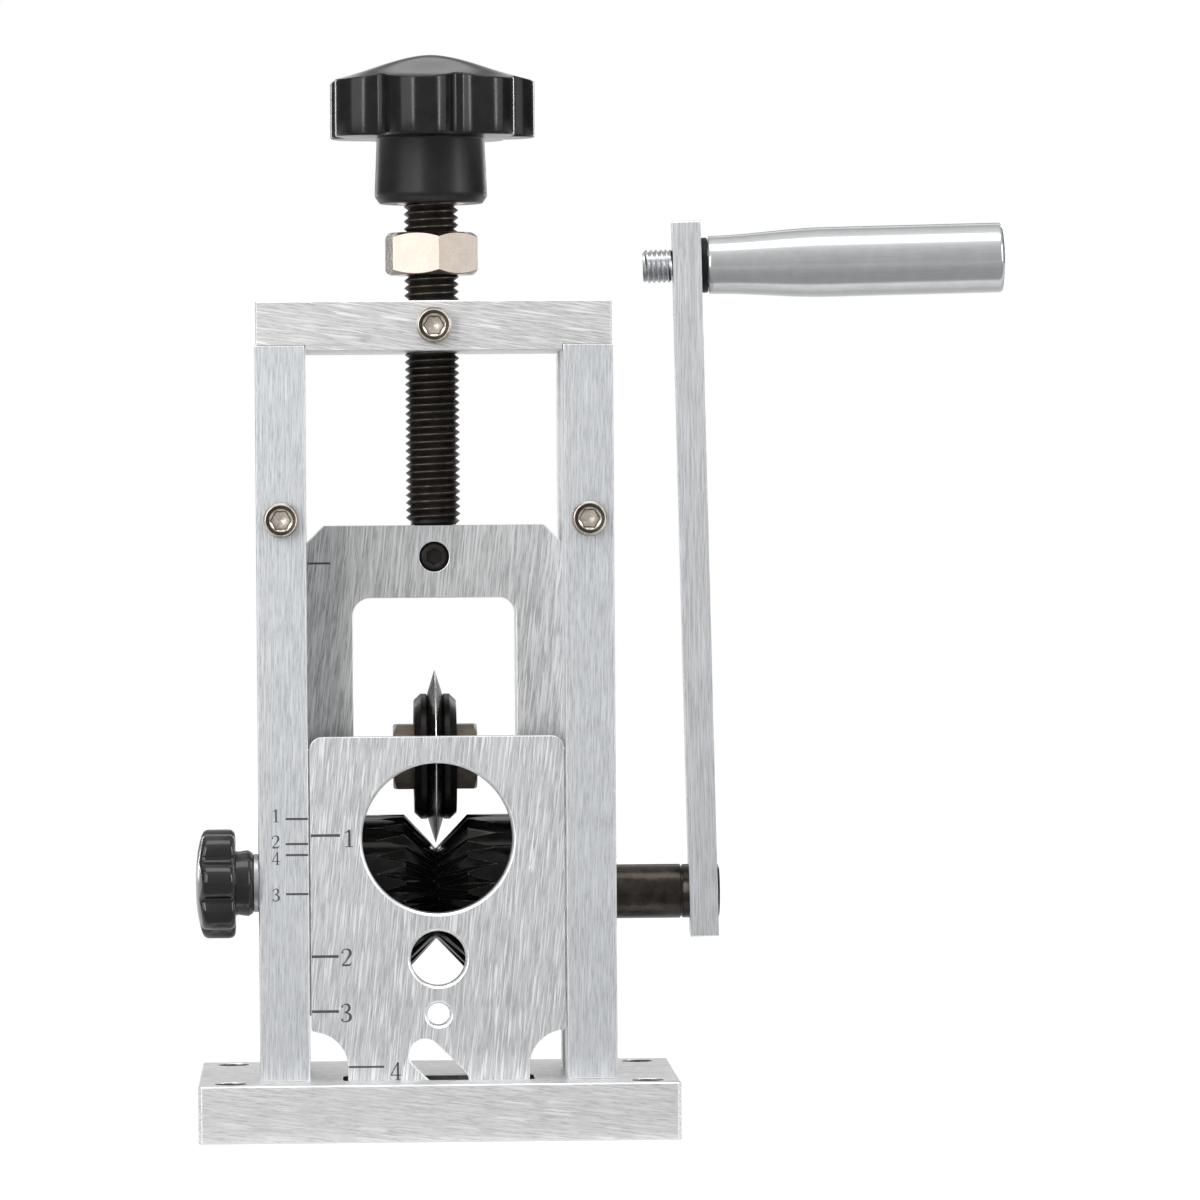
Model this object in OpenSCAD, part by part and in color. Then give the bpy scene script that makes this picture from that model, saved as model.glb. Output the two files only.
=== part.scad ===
// Hand crank wire stripper: a small bench machine that slits the insulation of scrap cable.
// Two toothed feed wheels that meet in a V groove, turned by the crank, pull the cable through a
// hole in the guide plate and under a free-turning disc blade. The star knob on the lead screw sets the
// height of the blade, and the side knob clamps the guide plate with the wanted hole in line.
// X runs left to right, Y front to back and Z up. The origin is under the middle of the base.

/* [Base plate] */
// Width of the base plate, left to right
base_w = 96; // [93:1:130]
// Depth of the base plate, front to back
base_d = 60; // [60:1:90]
// Thickness of the base plate
base_h = 11.5; // [9:0.5:18]
// Chamfer along the upper and lower edges of the base plate
base_edge = 0.2; // [0.2:0.1:1.5]
// Chamfer on the four upright edges of the base plate
base_corner = 0.7; // [0.3:0.1:1.5]
// Distance from the front edge of the base to the front of the columns
front_margin = 10; // [9:0.5:12]
// Diameter of the four bench bolt holes
bench_hole_d = 6.6; // [4:0.2:7]
// Distance from the ends and edges of the base to the centres of the bench bolt holes
bench_hole_edge = 6.5; // [5.5:0.5:7]

/* [Columns] */
// Clear width between the two columns
column_gap = 51.5; // [50:0.5:54]
// Thickness of each column, left to right
column_w = 10; // [9:0.5:11]
// Height of the columns above the base plate
column_h = 147; // [140:1:190]
// Depth of the front rails, front to back
rail_d = 16; // [15:0.5:18]
// Depth of the side plates behind the rails
side_d = 26; // [24:0.5:32]
// Width of the channel that guides the blade carrier, front to back
channel_w = 16; // [15.5:0.5:18]
// Depth of the channel in the inner face of each side plate
channel_d = 2.5; // [2:0.1:3]
// Chamfer along the edges of the columns and the beam
column_edge = 0.2; // [0.2:0.1:0.8]
// Height of the rail screws above the base plate
rail_screw_h = 112.1; // [90:0.1:125]

/* [Top beam] */
// Thickness of the top beam
beam_h = 10; // [8:0.5:16]
// Depth of the rebates under the ends of the beam that sit over the columns
rebate_h = 1.2; // [0.5:0.1:2]
// Step from the outer face of each column in to the end of the beam
beam_step = 0.2; // [0:0.1:1]

/* [Guide plate] */
// Thickness of the guide plate
guide_t = 4.6; // [3.5:0.1:4.8]
// Height of the guide plate with its foot
guide_h = 78.2; // [76:0.2:90]
// Step from the front of the rails back to the guide plate
guide_setback = 1; // [0.8:0.1:1.1]
// Radius of the top corners of the guide plate
guide_corner_r = 2.5; // [1:0.5:6]
// Diameter of the largest wire hole
hole_1_d = 30; // [24:1:31]
// Height of the largest wire hole above the foot
hole_1_h = 57.8; // [57:0.2:59]
// Diameter of the second wire hole
hole_2_d = 11; // [8:0.5:12]
// Height of the second wire hole above the foot
hole_2_h = 33.8; // [33:0.2:35]
// Diameter of the third wire hole
hole_3_d = 4.5; // [3:0.5:6]
// Height of the third wire hole above the foot
hole_3_h = 22.6; // [22:0.2:23.4]
// Width of the slanted slot for flat cable
slot_4_w = 6.4; // [4:0.2:7]
// Distance between the centres of the slot's two round ends
slot_4_run = 7.8; // [5:0.2:9]
// Height of the middle of the slanted slot above the foot
slot_4_h = 11.8; // [11:0.1:12.5]
// Chamfer round the wire holes
hole_edge = 0.5; // [0.2:0.1:0.8]
// Radius of the cut-outs beside the foot
foot_cut_r = 7.3; // [5:0.1:9]
// Height of the centres of the cut-outs above the foot
foot_cut_h = 12; // [10:0.2:13]
// Radius that rounds the corners between the cut-outs and the plate's edges
foot_corner_r = 0.8; // [0.6:0.1:2]
// Thickness of the tongues on the edges of the guide plate
tongue_t = 2.3; // [1.5:0.1:2.6]
// How far the tongues stand out of the plate's edges
tongue_w = 2.1; // [1.5:0.1:2.3]

/* [Foot pocket] */
// Thickness of the floor under the pocket in the base plate
pocket_floor = 2; // [1.5:0.1:3]
// Clearance between each side of the guide plate's foot and the pocket for it
foot_gap = 1.05; // [0.8:0.05:2]
// Depth of the pocket, front to back
pocket_d = 12.6; // [8:0.2:13.4]
// Radius of the pocket's corners
pocket_corner_r = 1.6; // [0.5:0.1:1.6]

/* [Feed wheels] */
// Height of the drive shaft above the bench
drive_z = 47.6; // [46:0.1:48]
// Outer diameter of the feed wheels
roller_d = 32; // [28:0.5:33]
// Width of the toothed part of the two feed wheels together
roller_w = 40; // [34:1:43]
// Width of the V groove at the wheels' surface
groove_w = 12.8; // [11:0.2:14]
// Depth of the V groove
groove_depth = 6.8; // [5.5:0.1:7.2]
// Number of teeth round each wheel
tooth_count = 26; // [18:1:28]
// Depth of the notches between the teeth at the edge of the groove
notch_depth = 1.5; // [0.8:0.1:1.8]
// Depth of the notches where they start, near the bottom of the groove
notch_root_depth = 0.25; // [0.15:0.05:0.5]
// Distance from the middle of the groove to where the notches start
notch_start = 0.6; // [0.5:0.1:1.5]
// How far the notches run out past the edge of the groove
notch_run = 5.6; // [3:0.2:7]
// Share of the tooth pitch that a notch takes at the edge of the groove
notch_share = 0.88; // [0.6:0.02:0.92]
// Diameter of the hubs at the outer ends of the wheels
hub_d = 20; // [18:0.5:22]

/* [Drive shaft] */
// Diameter of the drive shaft
shaft_d = 11; // [8:0.5:11.5]
// Outer diameter of the bushes
bush_d = 14; // [13:0.2:14.6]
// Diameter of the flanges of the bushes
bush_flange_d = 15.4; // [15:0.1:15.4]
// How far the shaft stands out of the far face of the crank arm
shaft_proud = 0.4; // [0:0.1:2]

/* [Crank] */
// Distance from the outer face of the column to the crank arm
arm_standoff = 15.7; // [10:0.1:25]
// Thickness of the crank arm
arm_t = 5.7; // [5:0.1:9]
// Width of the crank arm, front to back
arm_w = 18; // [16:0.5:24]
// Distance from the drive shaft to the handle
crank_throw = 127.1; // [80:0.1:160]
// Length of the arm beyond the centres of its two holes
arm_end = 8.8; // [8:0.1:12]
// Radius of the arm's corners
arm_corner_r = 0.5; // [0.5:0.5:6]
// Degrees that the arm leans in towards the frame on its shaft, as the photographed one does
arm_lean = 1.1; // [0:0.1:2]
// Degrees that the arm and the handle are twisted to the front
arm_twist = 1.9; // [0:0.1:3]

/* [Handle] */
// Length of the grip
grip_l = 60; // [45:1:90]
// Diameter of the grip
grip_d = 14.2; // [13:0.1:24]
// Diameter of the grip where it meets the arm
grip_neck_d = 11.8; // [11:0.2:12.8]
// Length over which the grip swells from its neck
grip_neck_l = 24; // [12:1:34]
// Diameter of the spindle inside the grip
spindle_d = 8; // [7.6:0.2:9]
// Diameter of the head at the end of the spindle
spindle_head_d = 10.6; // [10:0.2:11.2]
// Diameter of the threaded stud that goes through the arm
stud_d = 6.8; // [5:0.2:7.4]
// How far the stud stands out of the arm
stud_out = 6.1; // [1:0.1:10]
// Thickness of the black washer between the arm and the grip
handle_washer_t = 1.4; // [0.6:0.1:3]
// Diameter of the black washer
handle_washer_d = 11.2; // [10:0.2:14]

/* [Blade] */
// Diameter of the blade
blade_d = 35; // [32:0.5:35.4]
// Thickness of the blade
blade_t = 3; // [2:0.1:3.4]
// Length of the bevels of the blade
bevel_l = 4.7; // [3:0.1:6]
// Gap at rest between the blade and the bottom of the groove
blade_gap = 1.1; // [0.9:0.1:3]
// Diameter of the collars on both sides of the blade
collar_d = 25.5; // [20:0.5:26]
// Thickness of each collar
collar_t = 2.8; // [2:0.1:3]
// Chamfer round the outer edges of the collars
collar_edge = 1.3; // [0.5:0.1:1.6]
// Diameter of the blade axle
axle_d = 8; // [6:0.5:9]
// Width across the flats of the blade nuts
blade_nut_af = 13; // [13:0.5:15]
// Thickness of each blade nut
blade_nut_h = 4.2; // [3:0.1:5]

/* [Blade carrier] */
// Height of the blade carrier
carrier_h = 56.3; // [52:0.1:60]
// Length of the carrier's legs below the blade axle
leg_below = 9.4; // [7:0.1:10]
// Width of the window in the carrier
window_w = 33; // [30:0.5:36]
// Height of the bar over the window
bar_h = 14.6; // [14:0.1:18]
// Radius of the upper corners of the window
window_corner_r = 3.5; // [1:0.5:6]
// Bevel across the top corners of the carrier
shoulder = 5.8; // [3:0.1:9]

/* [Lead screw] */
// Outer diameter of the lead screw's thread
lead_d = 11; // [9:0.5:11.5]
// Diameter of the plain journal that turns in the carrier
journal_d = 8; // [7:0.2:8.4]
// Length of the journal
journal_l = 12.2; // [10:0.1:13]
// Diameter of the neck that the keeper screw runs in
neck_d = 6; // [5:0.2:6.4]
// Width of the neck
neck_w = 3.4; // [3.3:0.1:4]
// Depth of the neck's middle below the top of the carrier
neck_depth = 6.3; // [5.5:0.1:7]
// Diameter of the keeper screw
keeper_d = 6; // [5:0.5:6]
// Diameter of the keeper screw's plain point
keeper_point_d = 3; // [2:0.1:3]
// Distance from the top of the beam to the star knob
knob_lift = 20.2; // [18:0.2:40]
// Distance from the top of the beam to the lock nut
nut_lift = 5.7; // [4:0.1:8]
// Width across the flats of the lock nut
nut_af = 17.4; // [15:0.2:20]
// Height of the lock nut
nut_h = 8.6; // [5:0.2:9]

/* [Star knob] */
// Diameter over the lobes of the star knob
knob_d = 42.5; // [34:0.5:60]
// Height of the knob's rim
knob_rim_h = 11.4; // [8:0.2:16]
// Height of the dome over the rim
knob_dome_h = 5.5; // [3:0.1:9]
// Diameter of the knob's hub
knob_hub_d = 22.8; // [20:0.2:26]
// Height of the knob's hub
knob_hub_h = 13.3; // [10:0.1:20]
// Number of lobes on both knobs
lobe_count = 7; // [5:1:8]
// Diameter of the threaded insert in the hub
insert_d = 14; // [13:0.5:16]
// Length of the threaded insert
insert_l = 14; // [8:0.5:16]

/* [Side lock] */
// Height of the side lock above the bench
lock_z = 51.1; // [48:0.1:60]
// Diameter over the lobes of the lock knob
lock_knob_d = 22.2; // [16:0.2:22.6]
// Length of the lock knob's rim
lock_rim_h = 6; // [4:0.1:10]
// Height of the dome on the lock knob
lock_dome_h = 2; // [1:0.1:4]
// Diameter of the lock knob's hub
lock_hub_d = 13.2; // [11:0.2:15]
// Length of the lock knob's hub
lock_hub_h = 3.5; // [2:0.1:8]
// Diameter of the clamping stud
lock_stud_d = 5; // [4:0.2:5]
// Diameter of the washer under the lock knob
lock_washer_d = 11.7; // [9:0.1:15]
// Thickness of the washer under the lock knob
lock_washer_t = 1.1; // [0.8:0.1:2]

/* [Screws] */
// Diameter of the frame screws
screw_d = 4; // [3:0.2:4]
// Diameter of the heads of the cap screws
cap_head_d = 7; // [6:0.2:8]
// Height of the heads of the cap screws
cap_head_h = 4; // [2:0.5:5]
// Diameter of the flat heads under the base and on the beam
flat_head_d = 8; // [6:0.2:8.4]
// Width across the flats of the sockets in the screw heads
socket_af = 3; // [2:0.1:3.2]
// Length of the rail screws under their heads
rail_screw_l = 25; // [21:1:30]
// Length of the screws up through the base plate
foot_screw_l = 24; // [18:1:28]
// Length of the screws down through the beam
beam_screw_l = 20; // [16:1:28]
// Diameter of the set screws in the wheel hubs and the crank arm
set_screw_d = 4; // [3:0.2:4.4]

/* [Fits] */
// Clearance between parts that slide on each other
slide_gap = 0.15; // [0.1:0.01:0.2]
// Clearance all round between turning parts and their holes
run_gap = 0.04; // [0.02:0.01:0.08]
// Clearance all round between fixed parts and their holes
seat_gap = 0.02; // [0.01:0.01:0.04]
// Play along the axis between parts that turn against each other
end_gap = 0.1; // [0.05:0.01:0.15]

/* [Hidden] */
$fn = 64;

// Overrun of every cut past the surface that it leaves
cut = 0.5;

// Places front to back
front_y = front_margin - base_d / 2;
side_y = front_y + rail_d;
back_y = side_y + side_d;
work_y = side_y + channel_w / 2;
column_d = rail_d + side_d;

// Places left to right
inner_x = column_gap / 2;
outer_x = inner_x + column_w;
column_x = inner_x + column_w / 2;
channel_x = inner_x + channel_d;
arm_x = outer_x + arm_standoff;

// Heights
column_top = base_h + column_h;
beam_z = column_top - rebate_h;
beam_top = beam_z + beam_h;
rail_screw_z = base_h + rail_screw_h;
groove_root_r = roller_d / 2 - groove_depth;
blade_z = drive_z + groove_root_r + blade_gap + blade_d / 2;
carrier_z = blade_z - leg_below;
carrier_top = carrier_z + carrier_h;
knob_z = beam_top + knob_lift;
lead_top = knob_z + insert_l;

// Guide plate: its width follows the gap between the rails
guide_w = column_gap - 4 * slide_gap;
guide_y = front_y + guide_setback;
guide_mid_y = guide_y + guide_t / 2;
foot_w = guide_w - 2 * foot_cut_r;
foot_z = pocket_floor;
pocket_w = foot_w + 2 * foot_gap;
tongue_slot_t = tongue_t + slide_gap;
tongue_slot_x = guide_w / 2 + tongue_w + slide_gap;
slot_4_slant = 45;

// Frame screws: shares of the depth of a side plate at which they stand
side_screw_shares = [0.27, 0.81];
frame_screw_ys = concat([front_y + rail_d / 2], [for (s = side_screw_shares) side_y + s * side_d]);
head_sink = seat_gap;
flat_head_rim = screw_d / 16;
socket_depth = screw_d * 0.55;

// Knob outlines: shares of the knob's radius
lobe_r_share = 0.345;
valley_r_share = 0.1;
// The hollow circles bite into the lobes by a trace, so that the arcs cross and don't just touch
bite_share = 0.997;
dome_power = 1.4;
dome_steps = 14;
star_knob_turn = 261.5;
lock_knob_turn = 19.7;

// Grip: steps along the swelling neck and round the far edge
grip_steps = 14;
grip_edge_r = grip_d / 12;
edge_steps = 5;
head_h = spindle_head_d / 7;

nut_turn = -22;

// Turn of the left wheel's teeth on the shaft, and how far round each wheel's teeth are shifted
tooth_turn = 3.3;
left_shift_share = 0;
right_shift_share = 0.5;

// Rectangle centred on the origin with its four corners cut off
module eased_rect(w, h, edge) {
    polygon([
        [edge - w / 2, -h / 2], [w / 2 - edge, -h / 2],
        [w / 2, edge - h / 2], [w / 2, h / 2 - edge],
        [w / 2 - edge, h / 2], [edge - w / 2, h / 2],
        [-w / 2, h / 2 - edge], [-w / 2, edge - h / 2]
    ]);
}

// Block standing on its base, centred left to right and front to back: edge is the chamfer along
// its upper and lower edges, and corner the one on its upright edges
module eased_block(w, d, h, edge, corner) {
    intersection() {
        linear_extrude(h) eased_rect(w, d, corner);
        translate([0, d / 2, h / 2]) rotate([90, 0, 0]) linear_extrude(d) eased_rect(w, h, edge);
        translate([-w / 2, 0, h / 2]) rotate([90, 0, 90]) linear_extrude(w) eased_rect(d, h, edge);
    }
}

// Hexagonal prism standing on its base, with two flats facing left and right
module hex_prism(af, h) {
    rotate(30) cylinder(d = af / cos(30), h = h, $fn = 6);
}

// Children on the right and their mirror image on the left
module both_sides() {
    children();
    mirror([1, 0, 0]) children();
}

// Turns a shape that stands along Z so that it points along X
module along_x() {
    rotate([0, 90, 0]) children();
}

// Turns a shape that stands along Z so that it points to the front
module to_front() {
    rotate([90, 0, 0]) children();
}

// Cap screw with its head above the seat at zero and its shank below, or the hole that fits it
module cap_screw(l, gap = 0) {
    head_r = cap_head_d / 2;
    edge = cap_head_h / 12;
    difference() {
        union() {
            rotate_extrude() polygon([
                [0, 0], [head_r, 0], [head_r, cap_head_h - edge],
                [head_r - edge, cap_head_h], [0, cap_head_h]
            ]);
            translate([0, 0, -l - gap]) cylinder(r = screw_d / 2 + gap, h = l + gap);
        }
        if (gap == 0) translate([0, 0, cap_head_h - socket_depth])
            hex_prism(socket_af, socket_depth + cut);
    }
}

// Flat head screw with the top of its head at zero and its shank below, or the hole that fits it
module flat_screw(l, gap = 0, over = 0) {
    head_r = flat_head_d / 2 + gap;
    shank_r = screw_d / 2 + gap;
    difference() {
        rotate_extrude() polygon([
            [0, over], [head_r, over], [head_r, -flat_head_rim],
            [shank_r, -flat_head_rim - head_r + shank_r], [shank_r, -l - gap], [0, -l - gap]
        ]);
        if (gap == 0) translate([0, 0, -socket_depth])
            hex_prism(socket_af * 0.8, socket_depth + cut);
    }
}

// Set screw from its point at zero up to its socket
module set_screw(d, l, af) {
    edge = d / 10;
    difference() {
        rotate_extrude() polygon([
            [0, 0], [d / 2 - edge, 0], [d / 2, edge], [d / 2, l - edge], [d / 2 - edge, l], [0, l]
        ]);
        translate([0, 0, l / 2]) hex_prism(af, l / 2 + cut);
    }
}

// Places of the screws that go up through the base plate
module at_base_screws() {
    both_sides() for (y = frame_screw_ys) translate([column_x, y, head_sink]) mirror([0, 0, 1]) children();
}

// Places of the screws that go down through the beam
module at_beam_screws() {
    both_sides() for (y = frame_screw_ys) translate([column_x, y, beam_top - head_sink]) children();
}

// Place of a rail screw on the right, standing out of the front of the rail
module at_rail_screw() {
    translate([column_x, front_y, rail_screw_z]) to_front() children();
}

// Place of the side lock's axis, pointing left from the outer face of the left column
module at_side_lock() {
    translate([-outer_x, guide_mid_y, lock_z]) rotate([0, -90, 0]) children();
}

// Outline of a knob with round lobes and hollow-rounded valleys
module lobed_outline(r) {
    half = 180 / lobe_count;
    lobe_r = r * lobe_r_share;
    valley_r = r * valley_r_share;
    lobe_c = r - lobe_r;
    reach = lobe_r + valley_r * bite_share;
    valley_c = lobe_c * cos(half) + sqrt(pow(reach, 2) - pow(lobe_c * sin(half), 2));
    difference() {
        union() {
            for (i = [0 : lobe_count - 1]) rotate(2 * i * half) translate([lobe_c, 0]) circle(r = lobe_r);
            polygon([
                for (i = [0 : 2 * lobe_count - 1])
                    let (r_i = i % 2 == 0 ? lobe_c : valley_c) r_i * [cos(i * half), sin(i * half)]
            ]);
        }
        for (i = [0 : lobe_count - 1]) {
            rotate((2 * i + 1) * half) translate([valley_c, 0]) circle(r = valley_r);
        }
    }
}

// How far the dome has fallen, as a share of its height, at a share of the radius
function dome_fall(share) = (pow(share, dome_power) + pow(sin(90 * share), 2)) / 2;

// Lobed knob with its hub standing on zero, turned so that a lobe points at the given angle
module lobed_knob(r, rim_h, dome_h, hub_r, hub_h, turn) {
    crown = hub_h + rim_h + dome_h;
    waist = hub_r / 25;
    rotate(turn) intersection() {
        translate([0, 0, hub_h]) linear_extrude(rim_h + dome_h) lobed_outline(r);
        rotate_extrude() polygon(concat(
            [[0, hub_h - cut], [r + cut, hub_h - cut]],
            [for (i = [dome_steps : -1 : 0])
                let (share = i / dome_steps) [share * (r + cut), crown - dome_h * dome_fall(share)]]
        ));
    }
    rotate_extrude() polygon([
        [0, 0], [hub_r - 2 * waist, 0], [hub_r, 3 * waist], [hub_r, 5 * waist],
        [hub_r - waist, hub_h], [hub_r - waist, hub_h + rim_h / 2], [0, hub_h + rim_h / 2]
    ]);
}

// Nut standing on its base, with its corners chamfered at the top, and at the bottom if asked
module nut_body(af, h, both) {
    corner_r = af / cos(30) / 2;
    face_r = af * 0.48;
    drop = (corner_r - face_r) * tan(30);
    intersection() {
        hex_prism(af, h);
        rotate_extrude() polygon([
            [0, 0], [both ? face_r : corner_r, 0], [corner_r, both ? drop : 0],
            [corner_r, h - drop], [face_r, h], [0, h]
        ]);
    }
}

// Round hole through the guide plate, chamfered at both faces, centred on the plate's middle
module wire_hole(d) {
    to_front() rotate_extrude() polygon([
        [0, -guide_t / 2 - cut], [d / 2 + hole_edge + cut, -guide_t / 2 - cut],
        [d / 2 + hole_edge, -guide_t / 2], [d / 2, hole_edge - guide_t / 2],
        [d / 2, guide_t / 2 - hole_edge], [d / 2 + hole_edge, guide_t / 2],
        [d / 2 + hole_edge + cut, guide_t / 2 + cut], [0, guide_t / 2 + cut]
    ]);
}

// Outline of the milled pocket for the foot of the guide plate, with its front edge at zero
module pocket_outline() {
    inner_w = pocket_w - 2 * pocket_corner_r;
    translate([-pocket_w / 2, pocket_corner_r]) square([pocket_w, pocket_d - 2 * pocket_corner_r]);
    translate([-inner_w / 2, 0]) square([inner_w, pocket_d]);
    for (x = [-1, 1], y = [pocket_corner_r, pocket_d - pocket_corner_r]) {
        translate([x * inner_w / 2, y]) circle(r = pocket_corner_r);
    }
}

module base_plate() {
    color("silver") difference() {
        eased_block(base_w, base_d, base_h, base_edge, base_corner);
        for (x = [-1, 1], y = [-1, 1]) {
            translate([x * (base_w / 2 - bench_hole_edge), y * (base_d / 2 - bench_hole_edge), -cut])
                cylinder(d = bench_hole_d, h = base_h + 2 * cut);
        }
        translate([0, guide_y - 2 * slide_gap, pocket_floor]) linear_extrude(base_h) pocket_outline();
        at_base_screws() flat_screw(foot_screw_l, seat_gap, cut);
    }
}

// Front rail on the right: it closes the front of the carrier's channel and guides the guide plate
module rail() {
    difference() {
        translate([column_x, front_y + rail_d / 2, base_h])
            eased_block(column_w, rail_d, column_h, column_edge, column_edge);
        translate([inner_x - cut, guide_mid_y - tongue_slot_t / 2, base_h - cut])
            cube([tongue_slot_x - inner_x + cut, tongue_slot_t, column_h + 2 * cut]);
        at_rail_screw() cap_screw(rail_screw_l, seat_gap);
        at_base_screws() flat_screw(foot_screw_l, seat_gap, cut);
        at_beam_screws() flat_screw(beam_screw_l, seat_gap, cut);
    }
}

module right_rail() {
    color("silver") rail();
}

module left_rail() {
    color("silver") difference() {
        mirror([1, 0, 0]) rail();
        at_side_lock() translate([0, 0, -column_w])
            cylinder(r = lock_stud_d / 2 + run_gap, h = column_w + cut);
    }
}

// Side plate on the right, with the channel for the carrier and the seat of the bush
module side_plate() {
    difference() {
        translate([column_x, side_y + side_d / 2, base_h])
            eased_block(column_w, side_d, column_h, column_edge, column_edge);
        translate([inner_x - cut, side_y - cut, base_h - cut])
            cube([channel_d + cut, channel_w + cut, column_h + 2 * cut]);
        translate([channel_x - cut, work_y, drive_z]) along_x()
            cylinder(r = bush_d / 2 + seat_gap, h = column_w + cut);
        at_rail_screw() cap_screw(rail_screw_l, seat_gap);
        at_base_screws() flat_screw(foot_screw_l, seat_gap, cut);
        at_beam_screws() flat_screw(beam_screw_l, seat_gap, cut);
    }
}

module right_side_plate() {
    color("gainsboro") side_plate();
}

module left_side_plate() {
    color("gainsboro") mirror([1, 0, 0]) side_plate();
}

module top_beam() {
    color("lightgray") difference() {
        translate([0, front_y + column_d / 2, beam_z])
            eased_block(2 * (outer_x - beam_step), column_d, beam_h, column_edge, column_edge);
        both_sides() translate([inner_x - slide_gap, front_y - cut, beam_z - cut])
            cube([column_w + cut, column_d + 2 * cut, rebate_h + cut]);
        translate([0, work_y, beam_z - cut]) cylinder(r = lead_d / 2 + run_gap, h = beam_h + 2 * cut);
        at_beam_lock_screw() cap_screw(beam_lock_l, seat_gap);
        at_beam_screws() flat_screw(beam_screw_l, seat_gap, cut);
    }
}

module rail_screws() {
    color("lightgray") both_sides() at_rail_screw() cap_screw(rail_screw_l);
}

// The beam lock screw presses on the lead screw, so its length follows from the two faces
beam_lock_l = work_y - lead_d / 2 - end_gap - front_y;

module at_beam_lock_screw() {
    translate([0, front_y, beam_z + beam_h / 2]) to_front() children();
}

module beam_lock_screw() {
    color("lightgray") at_beam_lock_screw() cap_screw(beam_lock_l);
}

module beam_screws() {
    color("lightgray") at_beam_screws() flat_screw(beam_screw_l);
}

module base_screws() {
    color("lightgray") at_base_screws() flat_screw(foot_screw_l);
}

// Bush on the right: its flange fills the channel and takes the end of the wheel's hub
module bush() {
    translate([inner_x, work_y, drive_z]) along_x() difference() {
        union() {
            cylinder(d = bush_flange_d, h = channel_d);
            cylinder(d = bush_d, h = column_w);
        }
        translate([0, 0, -cut]) cylinder(r = shaft_d / 2 + run_gap, h = column_w + 2 * cut);
    }
}

module right_bush() {
    color("peru") bush();
}

module left_bush() {
    color("peru") mirror([1, 0, 0]) bush();
}

// Outline of the carrier seen from the front, standing on zero
module carrier_outline() {
    half_w = channel_x - slide_gap;
    window_h = carrier_h - bar_h;
    difference() {
        polygon([
            [-half_w, 0], [half_w, 0], [half_w, carrier_h - shoulder],
            [half_w - shoulder, carrier_h], [shoulder - half_w, carrier_h], [-half_w, carrier_h - shoulder]
        ]);
        translate([-window_w / 2, -cut]) square([window_w, window_h - window_corner_r + cut]);
        translate([window_corner_r - window_w / 2, -cut])
            square([window_w - 2 * window_corner_r, window_h + cut]);
        for (x = [-1, 1]) {
            translate([x * (window_w / 2 - window_corner_r), window_h - window_corner_r])
                circle(r = window_corner_r);
        }
    }
}

module blade_carrier() {
    carrier_t = channel_w - 2 * slide_gap;
    color("silver") difference() {
        translate([0, work_y + carrier_t / 2, carrier_z]) to_front()
            linear_extrude(carrier_t) carrier_outline();
        translate([-channel_x, work_y, blade_z]) along_x()
            cylinder(r = axle_d / 2 + run_gap, h = 2 * channel_x);
        translate([0, work_y, carrier_top - journal_l - end_gap])
            cylinder(r = journal_d / 2 + run_gap, h = journal_l + end_gap + cut);
        translate([0, work_y, carrier_top - neck_depth]) to_front()
            cylinder(r = keeper_d / 2 + seat_gap, h = channel_w);
    }
}

// Keeper screw in the front of the carrier: its plain point runs in the neck of the lead screw
module keeper_screw() {
    face_y = work_y - channel_w / 2 + 2 * slide_gap;
    body_l = work_y - journal_d / 2 - 2 * end_gap - face_y;
    point_l = (journal_d - neck_d) / 2;
    color("dimgray") translate([0, face_y + body_l, carrier_top - neck_depth]) to_front() {
        set_screw(keeper_d, body_l, socket_af);
        translate([0, 0, -point_l]) cylinder(d = keeper_point_d, h = body_l / 2 + point_l);
    }
}

module lead_screw() {
    lead_r = lead_d / 2;
    edge = lead_d / 14;
    foot = carrier_top + end_gap / 2;
    base = carrier_top - journal_l + end_gap;
    neck = carrier_top - neck_depth;
    color("dimgray") translate([0, work_y, 0]) rotate_extrude() polygon([
        [0, base], [journal_d / 2 - edge, base], [journal_d / 2, base + edge],
        [journal_d / 2, neck - neck_w / 2], [neck_d / 2, neck - neck_w / 2],
        [neck_d / 2, neck + neck_w / 2], [journal_d / 2, neck + neck_w / 2], [journal_d / 2, foot],
        [lead_r - edge, foot], [lead_r, foot + 2 * edge], [lead_r, lead_top - edge],
        [lead_r - edge, lead_top], [0, lead_top]
    ]);
}

module star_knob() {
    color("black") translate([0, work_y, knob_z]) difference() {
        lobed_knob(knob_d / 2, knob_rim_h, knob_dome_h, knob_hub_d / 2, knob_hub_h, star_knob_turn);
        translate([0, 0, -cut]) cylinder(r = insert_d / 2 + seat_gap, h = insert_l + seat_gap + cut);
    }
}

module knob_insert() {
    color("goldenrod") translate([0, work_y, knob_z]) difference() {
        cylinder(d = insert_d, h = insert_l);
        translate([0, 0, -cut]) cylinder(r = lead_d / 2 + seat_gap, h = insert_l + 2 * cut);
    }
}

module lock_nut() {
    color("silver") translate([0, work_y, beam_top + nut_lift]) difference() {
        rotate(nut_turn - 30) nut_body(nut_af, nut_h, true);
        translate([0, 0, -cut]) cylinder(r = lead_d / 2 + run_gap, h = nut_h + 2 * cut);
    }
}

module stripping_blade() {
    blade_r = blade_d / 2;
    color("lightgray") translate([-blade_t / 2, work_y, blade_z]) along_x() difference() {
        rotate_extrude($fn = 128) polygon([
            [0, 0], [blade_r - bevel_l, 0], [blade_r, blade_t / 2],
            [blade_r - bevel_l, blade_t], [0, blade_t]
        ]);
        translate([0, 0, -cut]) cylinder(r = axle_d / 2 + seat_gap, h = blade_t + 2 * cut);
    }
}

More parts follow.
